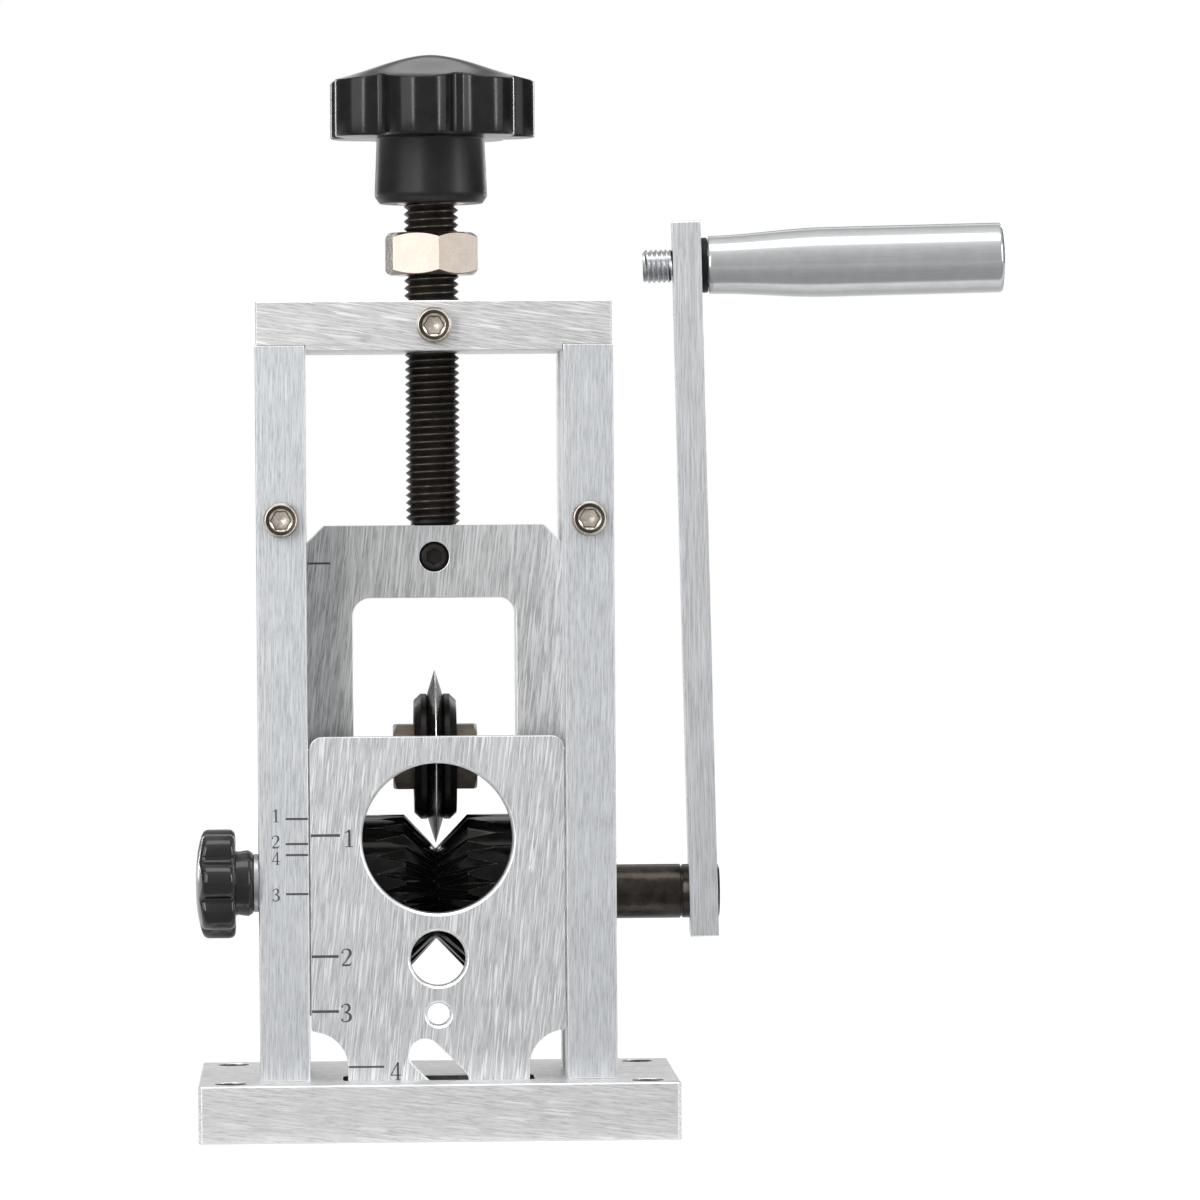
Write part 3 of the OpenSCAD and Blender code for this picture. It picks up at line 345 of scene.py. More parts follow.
def smooth_by_angle(mesh, degrees):
    """Smooth shading with sharp edges where the surface turns by more than the angle."""
    made = bmesh.new()
    made.from_mesh(mesh)
    limit = math.radians(degrees)
    for face in made.faces:
        face.smooth = True
    for edge in made.edges:
        if len(edge.link_faces) == 2:
            edge.smooth = edge.calc_face_angle(0.0) < limit
        else:
            edge.smooth = False
    made.to_mesh(mesh)
    made.free()


def eased_copy(name, node, body, material, width, slot, angle=30.0, segments=2, edge=None, inside=None,
               reshape=None, rims=True):
    """A CAD node's own form with its edges broken by width millimetres, as a filed part has.

    An edge is broken where the surface turns by more than angle degrees. edge is a material with a painted
    highlight for the broken edges and, with rims, for the slanted faces. inside is one with painted shade
    for bores, and reshape a last change to the form.
    """
    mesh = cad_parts[node].data.copy()
    mesh.name = name
    made = bmesh.new()
    made.from_mesh(mesh)
    bmesh.ops.remove_doubles(made, verts=made.verts, dist=WELD)
    bmesh.ops.dissolve_limit(made, angle_limit=math.radians(0.6), verts=made.verts, edges=made.edges)
    if reshape:
        reshape(made)
    made.to_mesh(mesh)
    made.free()
    smooth_by_angle(mesh, angle)
    piece = place(name, mesh, body, material, slot, (node,))
    reach, deep = (max(abs(v.co[i]) for v in mesh.vertices) - OUTER_ZONE for i in (0, 1))
    # Painted highlight: the edge material on the slanted rims and, through the bevel, on the broken edges
    if edge:
        mesh.materials.append(edge)
        for face in mesh.polygons:
            slanted = max(abs(c) for c in face.normal) < 0.98 and abs(face.normal.y) > 0.3
            if rims and slanted and abs(face.center.x) < reach:
                face.material_index = 1
    # Painted shade: the inside material on the upright walls of the bores
    if inside:
        mesh.materials.append(inside)
        for face in mesh.polygons:
            upright = abs(face.normal.z) < 0.5
            if upright and abs(face.center.x) < reach and abs(face.center.y) < deep:
                face.material_index = len(mesh.materials) - 1
    bevel = piece.modifiers.new("edges", "BEVEL")
    bevel.width = width * MM
    bevel.segments = segments
    bevel.limit_method = "ANGLE"
    bevel.angle_limit = math.radians(angle)
    bevel.harden_normals = True
    bevel.use_clamp_overlap = True
    bevel.miter_outer = "MITER_ARC"
    if edge:
        bevel.material = 1


def dress(node, material):
    """A CAD node that keeps its shape and gets a better material."""
    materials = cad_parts[node].data.materials
    materials.clear()
    materials.append(material)


def finish_mesh(made, name, angle=40.0):
    """Turns a bmesh into a mesh with its faces outwards, and smooths it unless angle is None."""
    bmesh.ops.recalc_face_normals(made, faces=made.faces)
    mesh = bpy.data.meshes.new(name)
    made.to_mesh(mesh)
    made.free()
    if angle:
        smooth_by_angle(mesh, angle)
    return mesh


def add_ring(made, points):
    """New vertices at points in millimetres."""
    return [made.verts.new(Vector(p) * MM) for p in points]


def add_skin(made, pairs):
    """Quads between two rings of points of one length, for each pair of them."""
    for a, b in pairs:
        for i in range(len(a)):
            j = (i + 1) % len(a)
            made.faces.new((a[i], a[j], b[j], b[i]))


def ring_mesh(name, rings, closed=False, angle=32.0):
    """A skin over rings of points, capped at both ends or closed from the last ring to the first."""
    made = bmesh.new()
    rows = [add_ring(made, ring) for ring in rings]
    add_skin(made, list(zip(rows, rows[1:])) + ([(rows[-1], rows[0])] if closed else []))
    if not closed:
        made.faces.new(list(reversed(rows[0])))
        made.faces.new(rows[-1])
    bmesh.ops.remove_doubles(made, verts=made.verts, dist=WELD / 2)
    return finish_mesh(made, name, angle)


def along(axis, centre):
    """Maps (radius, angle, height) about an axis through centre to a point. Angles are in radians."""
    cx, cy, cz = centre

    def z_up(r, a, h):
        return (cx + r * math.cos(a), cy + r * math.sin(a), cz + h)

    def x_right(r, a, h):
        return (cx + h, cy + r * math.cos(a), cz + r * math.sin(a))

    def x_left(r, a, h):
        return (cx - h, cy - r * math.cos(a), cz + r * math.sin(a))

    def y_front(r, a, h):
        return (cx + r * math.cos(a), cy - h, cz + r * math.sin(a))

    return {"+z": z_up, "+x": x_right, "-x": x_left, "-y": y_front}[axis]


def sin_cos(degrees):
    return math.sin(math.radians(degrees)), math.cos(math.radians(degrees))


def circle(to, r, h, count):
    """Points once round the axis that to maps onto. No radius is smaller than the axis's own, CENTRE."""
    return [to(max(r, CENTRE), 2 * math.pi * i / count, h) for i in range(count)]


def lathe(name, to, profile, count=96, closed=False, angle=32.0):
    """A turned form about the axis that to maps onto: profile is a list of (radius, height)."""
    return ring_mesh(name, [circle(to, r, h, count) for r, h in profile], closed, angle)


def thread_rings(to, r_crest, depth, pitch, start, end, count, entry, sharp):
    """Helical skin of a right-hand screw thread, faded out over entry at both ends.

    sharp is half the crest's width as a share of the pitch.
    """
    profile = [(0.0, 0.0), (0.5 - sharp, 1.0), (0.5 + sharp, 1.0), (1.0, 0.0)]
    made = bmesh.new()
    steps = int((end - start) / pitch * count) + count
    rows = []
    for i in range(steps + 1):
        turn = 2 * math.pi * i / count
        base = start - pitch + pitch * i / count
        row = []
        for share, rise in profile:
            height = min(max(base + share * pitch, start), end)
            edge = min(height - start, end - height)
            crest = r_crest - max(0.0, entry - edge)
            r = min(r_crest - depth + depth * rise, max(crest, r_crest - depth - 0.3))
            row.append(to(r, turn, height))
        rows.append(add_ring(made, row))
    for a, b in zip(rows, rows[1:]):
        for k in range(len(profile) - 1):
            made.faces.new((a[k], b[k], b[k + 1], a[k + 1]))
    bmesh.ops.remove_doubles(made, verts=made.verts, dist=0.75 * WELD)
    bmesh.ops.dissolve_degenerate(made, edges=made.edges, dist=0.75 * WELD)
    return made


def add_lathe(made, to, profile, count):
    """Adds a turned skin without caps to a mesh in the making."""
    rows = [add_ring(made, circle(to, r, h, count)) for r, h in profile]
    add_skin(made, zip(rows, rows[1:]))


def on_arm(r, a, h):
    """Maps (radius, angle, height) about the handle's axis, which leans with the crank arm."""
    return ARM_PIVOT + ARM_TURN @ (HANDLE_AT + Vector((h, r * math.cos(a), r * math.sin(a))))


# Frame
# The frame's broken edges and rims get a painted highlight, and the base's bores get painted shade
eased_copy("base_block", "base_plate", "frame", ALU_BASE, 0.18, "brushed_aluminium", edge=ALU_EDGE_HIGHLIGHT,
           inside=ALU_BORE_SHADE)
for side in ("left", "right"):
    for name, node, alu in (("_front_rail", "_rail", ALU_RAIL), ("_rear_plate", "_side_plate", ALU_SIDE)):
        eased_copy(side + name, side + node, "frame", alu, 0.14, "brushed_aluminium", edge=ALU_EDGE_HIGHLIGHT)
    dress(side + "_bush", BRONZE)
eased_copy("beam_block", "top_beam", "frame", ALU_BEAM, 0.16, "brushed_aluminium", edge=ALU_EDGE_HIGHLIGHT)
eased_copy("beam_flat_screws", "beam_screws", "frame", NICKEL, 0.08, "nickel_steel")
eased_copy("base_flat_screws", "base_screws", "frame", NICKEL, 0.08, "nickel_steel")


def cap_screw(name, centre, length):
    """Socket head cap screw on the front: knurled side, chamfers, hexagon socket and drill cone."""
    to = along("-y", (centre[0], RAIL_Y, centre[1]))
    count = 192

    def ring(height, radius):
        return [to(radius(i), 2 * math.pi * i / count, height) for i in range(count)]

    def plain(r):
        return lambda i: r

    def knurl(r):
        return lambda i: r - (0.10 if i % 4 < 2 else 0.0)

    def hexagon(af):
        return lambda i: af / 2 / math.cos((2 * math.pi * i / count) % (math.pi / 3) - math.pi / 6)

    rings = [
        ring(-length, plain(1.6)), ring(-length + 0.5, plain(1.98)), ring(-0.001, plain(1.98)),
        ring(0.0, plain(3.3)), ring(0.25, knurl(3.58)), ring(3.2, knurl(3.58)), ring(3.42, plain(3.50)),
        ring(3.74, plain(3.36)), ring(3.93, plain(3.20)), ring(3.98, plain(3.08)), ring(3.96, plain(2.98)),
        ring(3.94, plain(2.30)), ring(3.90, plain(2.20)), ring(3.70, hexagon(3.72)),
        ring(3.55, hexagon(3.56)), ring(2.2, hexagon(3.5)), ring(2.12, hexagon(3.3)),
        ring(2.12, plain(0.72)), ring(1.85, plain(0.05)),
    ]
    return ring_mesh(name, rings, angle=24.0)


def head_zones(mesh, centres):
    """Cap screw heads with painted highlights on rims and socket floor, painted shade on face and socket
    walls.

    The zones are the heights over the seat and the radii of cap_screw.
    """
    for extra in (NICKEL_RIM_HIGHLIGHT, NICKEL_FACE_SHADE, NICKEL_FLOOR_HIGHLIGHT):
        mesh.materials.append(extra)
    for face in mesh.polygons:
        x, y, z = (c / MM for c in face.center)
        height, radius = RAIL_Y - y, min(math.hypot(x - cx, z - cz) for cx, cz in centres)
        in_socket = radius < 1.85
        front_face = height > 3.8 and 2.3 < radius < 2.98
        # Painted shade on the head's front face and the socket walls
        if front_face or (in_socket and 2.14 < height < 3.6):
            face.material_index = 2
        # Painted highlight on the head's rim
        elif height > 3.3 and radius > 1.9:
            face.material_index = 1
        # Painted highlight on the socket floor
        elif in_socket and 1.5 < height < 2.2:
            face.material_index = 3


def joined(name, meshes):
    """One mesh out of several, which are removed."""
    made = bmesh.new()
    for mesh in meshes:
        made.from_mesh(mesh)
    out = bpy.data.meshes.new(name)
    made.to_mesh(out)
    made.free()
    for mesh in meshes:
        bpy.data.meshes.remove(mesh)
    return out


rail_caps = joined("rail_cap_screws", [cap_screw("rail_cap_screw", at, 25.0) for at in RAIL_SCREWS])
place("rail_cap_screws", rail_caps, "frame", NICKEL_CAP, "nickel_steel", ("rail_screws",))
head_zones(rail_caps, RAIL_SCREWS)
beam_cap = cap_screw("beam_cap_screw", BEAM_SCREW, 18.4)
place("beam_cap_screw", beam_cap, "frame", NICKEL_CAP, "nickel_steel", ("beam_lock_screw",))
head_zones(beam_cap, [BEAM_SCREW])

# Blade carrier and its keeper screw
# The carrier's broken edges and rims get a painted highlight
eased_copy("carrier_yoke", "blade_carrier", "carrier", ALU_CARRIER, 0.16, "brushed_aluminium", edge=ALU_EDGE_HIGHLIGHT)
eased_copy("keeper_set_screw", "keeper_screw", "carrier", OXIDE_KEEPER, 0.16, "black_oxide_steel")

# Lead screw
LEAD_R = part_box("lead_screw")[1].x / MM
LEAD_PITCH = 1.5
LEAD_DEPTH = 0.9
LEAD_START, LEAD_END = CARRIER_TOP + 0.1, 201.5
to_lead = along("+z", (0.0, WORK_Y, 0.0))
lead = thread_rings(to_lead, LEAD_R, LEAD_DEPTH, LEAD_PITCH, LEAD_START, LEAD_END, count=64, entry=1.0,
                    sharp=0.06)
add_lathe(lead, to_lead, [(CENTRE, 110.2), (3.4, 110.2), (3.96, 110.8), (3.96, 114.3), (3.0, 114.3),
                          (3.0, 117.7), (3.96, 117.7), (3.96, 122.4), (LEAD_R - LEAD_DEPTH, 122.4)], 64)
lead.faces.new(add_ring(lead, circle(to_lead, LEAD_R - 1.1, LEAD_END, 64)))
place("threaded_lead_screw", finish_mesh(lead, "threaded_lead_screw"), "lead", OXIDE_SCREW,
      "black_oxide_steel", ("lead_screw",))


# Knobs
def lobed_knob(name, axis, centre, r, rim, dome, hub_r, hub_h, turn, easing, bore, flat=None):
    """Moulded knob with seven round lobes, eased rims, a domed top and a hub.

    r is the radius over the lobes, rim, dome and hub_h are heights, turn is in degrees, easing is the
    rims' radius and flat the exponent of a flatter dome. Lobes and valleys are arcs that meet at joint.
    """
    lobes = 7
    half = math.pi / lobes
    lobe_r, valley_r = r * 0.345, r * 0.10  # radii of the arcs, whose centres lie at lobe_c and valley_c
    lobe_c = r - lobe_r
    reach = lobe_r + valley_r
    valley_c = lobe_c * math.cos(half) + math.sqrt(reach ** 2 - (lobe_c * math.sin(half)) ** 2)
    joint_x = lobe_c + lobe_r * (valley_c * math.cos(half) - lobe_c) / reach
    joint_y = lobe_r * valley_c * math.sin(half) / reach
    joint = math.atan2(joint_y, joint_x)
    to = along(axis, centre)
    count = lobes * 48
    crown = hub_h + rim + dome

    def outline(a):
        """The knob's radius in the direction a."""
        phi = abs((a + half) % (2 * half) - half)
        if phi <= joint:
            return lobe_c * math.cos(phi) + math.sqrt(max(lobe_r ** 2 - (lobe_c * math.sin(phi)) ** 2, 0))
        psi = half - phi
        return valley_c * math.cos(psi) - math.sqrt(max(valley_r ** 2 - (valley_c * math.sin(psi)) ** 2, 0))

    def dome_z(radius):
        share = min(radius / (r + 0.5), 1.0)
        if flat:
            return crown - dome * share ** flat
        return crown - dome * (share ** 1.4 + math.sin(math.pi / 2 * share) ** 2) / 2

    angles = [2 * math.pi * i / count for i in range(count)]
    out = [outline(a) for a in angles]
    turned = [a + math.radians(turn) for a in angles]

    def ring(radii, heights):
        return [to(q, a, h) for q, a, h in zip(radii, turned, heights)]

    def level(q, h):
        return ring([q] * count, [h] * count)

    waist = hub_r / 25
    rings = [level(bore, 0.3), level(bore + 0.3, 0.0), level(hub_r - 2 * waist - 0.3, 0.0),
             level(hub_r - 2 * waist, 0.12), level(hub_r - 0.15, 2.7 * waist), level(hub_r, 3.4 * waist),
             level(hub_r, 5 * waist), level(hub_r - waist, hub_h - 0.5),
             level(hub_r - waist + 0.12, hub_h - 0.12), level(hub_r - waist + 0.5, hub_h)]
    # From the hub out under the lobes, round their lower and upper rims and over the dome
    e = easing
    rings.append(ring([q - e * 1.3 for q in out], [hub_h] * count))
    for a in (30, 60, 90):
        s, c = sin_cos(a)
        rings.append(ring([q - e * (1 - s) for q in out], [hub_h + e * (1 - c)] * count))
    tops = [dome_z(q - e) for q in out]
    for a in (90, 68, 45, 22, 0):
        s, c = sin_cos(a)
        rings.append(ring([q - e * (1 - s) for q in out], [t - e * (1 - c) - 0.02 for t in tops]))
    dome_steps, round_from, round_span = 18, 0.6, 0.25  # the lobed rings turn into round ones on the way in
    for k in range(1, dome_steps + 1):
        share = 1 - k / (dome_steps + 0.6)
        radii = [(q - e) * share for q in out]
        if share < round_from:
            mean = sum(radii) / count
            blend_in = min((round_from - share) / round_span, 1.0)
            radii = [q + (mean - q) * blend_in for q in radii]
        rings.append(ring(radii, [dome_z(q) for q in radii]))
    return ring_mesh(name, rings, angle=50.0)


place("star_knob_moulding",
      lobed_knob("star_knob_moulding", "+z", (0.0, WORK_Y, KNOB_Z), r=21.25, rim=11.4, dome=5.5, hub_r=11.4,
                 hub_h=13.3, turn=261.5, easing=0.5, bore=7.0),
      "lead", PLASTIC, "black_knob_plastic", ("star_knob",))
place("side_knob_moulding",
      lobed_knob("side_knob_moulding", "-x", (-36.85, SIDE_Y, SIDE_Z), r=11.1, rim=6.0, dome=2.0, hub_r=6.6,
                 hub_h=3.5, turn=109.7, easing=1.3, bore=2.5, flat=2.6),
      "side_knob", PLASTIC_SIDE, "black_knob_plastic", ("lock_knob",))
dress("knob_insert", BRASS)

# Lock nut
eased_copy("hexagon_lock_nut", "lock_nut", "nut", NICKEL, 0.18, "nickel_steel", angle=25.0, segments=3)

# Blade, collars, nuts and axle
disc_profile = [(4.02, -1.5), (12.6, -1.5), (12.9, -1.46), (17.3, -0.11), (17.46, -0.08), (17.5, 0.0),
                (17.46, 0.08), (17.3, 0.11), (12.9, 1.46), (12.6, 1.5), (4.02, 1.5)]
CUTTING_R = 17.2  # the bright cutting edge starts here
disc = lathe("disc_blade", along("+x", BLADE_AT), disc_profile, 192, closed=True, angle=14.0)
place("disc_blade", disc, "blade", BLADE, "blade_steel", ("stripping_blade",))
# Painted highlight: the faces beyond CUTTING_R get the bright edge material
disc.materials.append(ALU_EDGE_HIGHLIGHT)
for face in disc.polygons:
    if math.hypot(face.center.y - WORK_Y * MM, face.center.z - BLADE_Z * MM) > CUTTING_R * MM:
        face.material_index = 1
collar_profile = [(4.02, 1.52), (12.3, 1.52), (12.6, 1.6), (12.74, 1.9), (12.74, 2.9), (12.6, 3.05),
                  (11.6, 4.12), (11.4, 4.28), (10.2, 4.28), (10.05, 4.2), (9.75, 3.86), (4.02, 3.86)]
collars = [lathe("collar", along(axis, BLADE_AT), collar_profile, 128, closed=True, angle=24.0)
           for axis in ("+x", "-x")]
place("stepped_collars", joined("stepped_collars", collars), "blade", OXIDE, "black_oxide_steel",
      ("blade_collars",))
eased_copy("worn_blade_nuts", "blade_nuts", "blade", OXIDE_NUT, 0.9, "black_oxide_steel", angle=25.0,
           segments=4)
dress("blade_axle", BLADE)

# Guide plate
def foot_curve(made):
    """Carries the guide plate's foot cut-outs in one curve up to their small outer corners."""
    middle_x, middle_z, radius = 25.45, 14.0, 7.3
    for v in made.verts:
        x, z = abs(v.co.x) / MM, v.co.z / MM
        if 22.9 < x < 24.72 and 21.2 < z < 22.2:  # the notch between the curve and its corner
            v.co.z = (middle_z + math.sqrt(radius ** 2 - (middle_x - x) ** 2)) * MM
    bmesh.ops.remove_doubles(made, verts=made.verts, dist=WELD)


# The guide plate's broken edges and rims get a painted highlight
eased_copy("guide_face_plate", "guide_plate", "guide", ALU_GUIDE, 0.14, "brushed_aluminium", edge=ALU_EDGE_HIGHLIGHT,
           reshape=foot_curve)

# Side lock washer and stud
side_profile = [(2.56, 0.05), (2.7, 0.0), (5.6, 0.0), (5.82, 0.15), (5.82, 0.9), (5.6, 1.1), (2.7, 1.1),
                (2.56, 1.0)]
place("side_flat_washer",
      lathe("side_flat_washer", along("-x", (-35.75, SIDE_Y, SIDE_Z)), side_profile, closed=True),
      "side_washer", ZINC_DULL, "zinc_steel", ("lock_washer",))
dress("lock_stud", ZINC)

# Drive shaft, feed wheels and crank arm
shaft_profile = [(CENTRE, -35.65), (5.1, -35.65), (5.5, -35.2), (5.5, 49.5), (5.42, 49.62), (5.15, 49.68),
                 (5.15, 49.95), (5.38, 50.0), (5.46, 50.15), (5.46, 57.2), (5.2, 57.5), (0.6, 57.55),
                 (0.3, 57.2), (CENTRE, 57.0)]
place("turned_shaft", lathe("turned_shaft", along("+x", (0.0, WORK_Y, DRIVE_Z)), shaft_profile),
      "crank", OXIDE_SHAFT, "black_oxide_steel", ("drive_shaft",))
# The feed wheels' broken edges get a painted highlight
for side in ("left", "right"):
    eased_copy(side + "_toothed_wheel", side + "_feed_wheel", "crank", OXIDE_WHEEL, 0.15,
               "black_oxide_steel", angle=22.0, segments=1, edge=OXIDE_EDGE_HIGHLIGHT, rims=False)
dress("wheel_set_screws", OXIDE)
dress("arm_set_screw", OXIDE)
eased_copy("flat_crank_arm", "crank_arm", "crank", ZINC_ARM, 0.25, "zinc_steel", segments=3)

# Handle
spindle = thread_rings(on_arm, 3.38, 0.45, 1.0, -11.78, -5.6, count=48, entry=0.5, sharp=0.1)
add_lathe(spindle, on_arm, [(CENTRE, -11.8), (2.8, -11.8), (2.86, -11.7)], 48)
add_lathe(spindle, on_arm, [(3.3, -5.7), (3.38, 0.0), (3.98, 0.0), (3.98, 60.0), (5.24, 60.1), (5.24, 61.15),
                            (5.1, 61.4), (4.6, 61.52), (2.6, 61.6), (CENTRE, 61.62)], 96)
place("threaded_spindle", finish_mesh(spindle, "threaded_spindle", 34.0), "crank", ZINC, "zinc_steel",
      ("handle_spindle",))
washer_profile = [(4.05, 0.0), (5.2, 0.0), (5.5, 0.1), (5.6, 0.35), (5.6, 1.05), (5.5, 1.3), (5.2, 1.4),
                  (4.05, 1.4)]
place("handle_black_washer", lathe("handle_black_washer", on_arm, washer_profile, closed=True),
      "crank", NYLON, "black_nylon", ("handle_washer",))


def grip_profile():
    """The grip from its neck at the washer to the full end with its rounded rim and recess."""
    start, end, bore, neck, full = 1.5, 61.5, 4.06, 5.9, 7.1
    taper, steps, rim = 23.72, 28, 1.1
    points = [(bore, start), (neck - 0.25, start), (neck - 0.08, start + 0.08), (neck, start + 0.28)]
    for i in range(1, steps + 1):
        share = i / steps
        swell = 3 * share ** 2 - 2 * share ** 3
        points.append((neck + (full - neck) * swell, start + 0.28 + share * taper))
    points.append((full, end - 1.25))
    for a in (15, 30, 45, 60, 75, 90):
        s, c = sin_cos(a)
        points.append((full - rim * (1 - c), end - rim * (1 - s)))
    return points + [(5.5, end), (5.4, end - 0.12), (5.4, end - 1.4), (bore, end - 1.4)]


place("turned_grip", lathe("turned_grip", on_arm, grip_profile(), 160, closed=True, angle=28.0),
      "grip", CHROME, "polished_chrome", ("handle_grip",))


# -------------------------------------------------------------- marks
# Strokes of (x, height, width) points, in shares of a figure's height
DIGITS = {
    "1": [[(0.29, 0.0, 0.09), (0.29, 1.0, 0.09)], [(0.29, 1.0, 0.07), (0.2, 0.9, 0.05), (0.07, 0.86, 0.03)],
          [(0.1, 0.015, 0.03), (0.48, 0.015, 0.03)]],
    "2": [[(0.07, 0.74, 0.10), (0.06, 0.84, 0.05), (0.14, 0.95, 0.04), (0.28, 0.98, 0.05),
           (0.43, 0.92, 0.09), (0.48, 0.76, 0.11), (0.43, 0.58, 0.09), (0.28, 0.34, 0.05),
           (0.06, 0.04, 0.04)],
          [(0.05, 0.04, 0.08), (0.46, 0.04, 0.08)], [(0.46, 0.04, 0.06), (0.53, 0.2, 0.03)]],
    "3": [[(0.08, 0.80, 0.09), (0.1, 0.9, 0.04), (0.24, 0.98, 0.04), (0.38, 0.94, 0.08), (0.44, 0.78, 0.10),
           (0.36, 0.6, 0.07), (0.2, 0.53, 0.03)],
          [(0.2, 0.53, 0.03), (0.4, 0.46, 0.07), (0.49, 0.28, 0.11), (0.42, 0.08, 0.08), (0.24, 0.01, 0.04),
           (0.1, 0.06, 0.05), (0.07, 0.17, 0.09)]],
    "4": [[(0.40, 1.0, 0.04), (0.05, 0.28, 0.04)], [(0.03, 0.27, 0.04), (0.57, 0.27, 0.04)],
          [(0.40, 1.0, 0.08), (0.40, 0.0, 0.08)], [(0.28, 0.015, 0.03), (0.53, 0.015, 0.03)]],
}


def spline(points):
    """Smooth path through (x, height, width) points, in six steps from one to the next."""
    steps = 6
    if len(points) == 2:
        return points
    out = []
    ends = [points[0], *points, points[-1]]
    for i in range(1, len(ends) - 2):
        p0, p1, p2, p3 = ends[i - 1:i + 3]
        for k in range(steps):
            t = k / steps
            out.append(tuple(0.5 * (2 * b + (c - a) * t + (2 * a - 5 * b + 4 * c - d) * t * t
                                    + (3 * b - a - 3 * c + d) * t ** 3)
                             for a, b, c, d in zip(p0, p1, p2, p3)))
    return out + [points[-1]]


def ribbon(made, path, left, bottom, height, face_y):
    """A thin raised stroke on a face that looks to the front, 0.012 mm proud of it."""
    rows = []
    for i, (x, z, width) in enumerate(path):
        a, b = path[max(i - 1, 0)], path[min(i + 1, len(path) - 1)]
        dx, dz = b[0] - a[0], b[1] - a[1]
        size = math.hypot(dx, dz) or 1.0
        nx, nz = -dz / size * width / 2, dx / size * width / 2
        row = []
        for sign in (1, -1):
            px, pz = left + (x + sign * nx) * height, bottom + (z + sign * nz) * height
            row.append([made.verts.new(Vector((px, face_y + depth, pz)) * MM) for depth in (0.05, -0.012)])
        rows.append(row)
    for (a, b), (c, d) in zip(rows, rows[1:]):
        made.faces.new((a[1], b[1], d[1], c[1]))
        made.faces.new((a[0], c[0], d[0], b[0]))
        made.faces.new((a[0], a[1], c[1], c[0]))
        made.faces.new((b[0], d[0], d[1], b[1]))
    for a, b in (rows[0], rows[-1]):
        made.faces.new((a[0], b[0], b[1], a[1]))


def marks(name, body, face_y, lines, digits):
    """Lines are (x from, x to, z, width); digits are (text, left, bottom, height)."""
    made = bmesh.new()
    for x0, x1, z, width in lines:
        ribbon(made, [(0.0, 0.0, width), (x1 - x0, 0.0, width)], x0, z, 1.0, face_y)
    for text, left, bottom, height in digits:
        for stroke in DIGITS[text]:
            wide = [(x * 1.12, z, width * 1.5) for x, z, width in spline(stroke)]
            ribbon(made, wide, left, bottom, height, face_y)
    place(name, finish_mesh(made, name, None), body, INK)


marks("rail_marks", "frame", RAIL_Y,
      [(-30.3, -25.85, z, 0.44) for z in (64.0, 59.0, 56.8, 49.0)],
      [("1", -33.0, 63.4, 2.5), ("2", -33.1, 58.2, 2.5), ("4", -33.1, 54.9, 2.5), ("3", -33.1, 47.6, 2.5)])
marks("plate_marks", "guide", PLATE_Y,
      [(-25.3, -19.45, 60.6, 0.54), (-25.3, -19.9, 36.4, 0.54), (-25.3, -19.9, 25.4, 0.54),
       (-18.05, -10.95, 14.25, 0.40)],
      [("1", -18.7, 58.27, 3.4), ("2", -19.4, 34.5, 3.4), ("3", -19.6, 23.3, 3.6), ("4", -9.8, 11.6, 3.5)])
marks("carrier_mark", "carrier", CARRIER_Y, [(-25.6, -21.0, 114.8, 0.42)], [])

# --------------------------------------------------------- floor and light
# The floor reaches 3 m each way and lies 0.02 mm under the base, so that the two don't share a plane
FLOOR_Z = -0.00002
floor_mesh = bpy.data.meshes.new("floor")
floor_mesh.from_pydata([(x, y, FLOOR_Z) for x, y in ((-3, -3), (3, -3), (3, 3), (-3, 3))], [], [(0, 1, 2, 3)])
floor = bpy.data.objects.new("floor", floor_mesh)
bpy.context.scene.collection.objects.link(floor)


def floor_material():
    """White to the camera, and what reflections see of it in greys; matt to all other light."""
    made = bpy.data.materials.new("pale_floor")
    made.use_nodes = True
    tree = made.node_tree
    tree.nodes.clear()
    out = tree.nodes.new("ShaderNodeOutputMaterial")
    mix = tree.nodes.new("ShaderNodeMixShader")
    diffuse = tree.nodes.new("ShaderNodeBsdfDiffuse")
    diffuse.inputs["Color"].default_value = (0.9, 0.9, 0.9, 1)
    white = tree.nodes.new("ShaderNodeEmission")
    white.inputs["Color"].default_value = (1, 1, 1, 1)
    path = tree.nodes.new("ShaderNodeLightPath")
    coords = tree.nodes.new("ShaderNodeTexCoord")
    split = tree.nodes.new("ShaderNodeSeparateXYZ")
    tree.links.new(coords.outputs["Object"], split.inputs[0])

    # Reflections see a mid grey floor in front of the object and the white one from under it to the back
    near, length = 0.6, 1.2  # metres in front of the object where the ramp starts, and its length
    stops = ((-0.6, 0.48), (-0.2, 0.30), (-0.04, 0.30), (-0.022, 1.0), (0.10, 0.55), (0.6, 0.8))
    way = arithmetic(tree, "MULTIPLY", arithmetic(tree, "ADD", split.outputs["Y"], near), 1 / length)
    mirrored = colour_ramp(tree, way, [((y + near) / length, (value, value, value)) for y, value in stops])
    seen = path.outputs["Is Camera Ray"]
    level = arithmetic(tree, "MULTIPLY", mirrored, 1.2)
    level = arithmetic(tree, "MAXIMUM", arithmetic(tree, "MULTIPLY", seen, 1.08), level)
    tree.links.new(level, white.inputs["Strength"])
    share = arithmetic(tree, "MAXIMUM", arithmetic(tree, "MULTIPLY", seen, 0.85),
                       arithmetic(tree, "MULTIPLY", path.outputs["Is Glossy Ray"], 0.85))
    tree.links.new(share, mix.inputs[0])
    tree.links.new(diffuse.outputs[0], mix.inputs[1])
    tree.links.new(white.outputs[0], mix.inputs[2])
    tree.links.new(mix.outputs[0], out.inputs["Surface"])
    return made


floor_mesh.materials.append(floor_material())

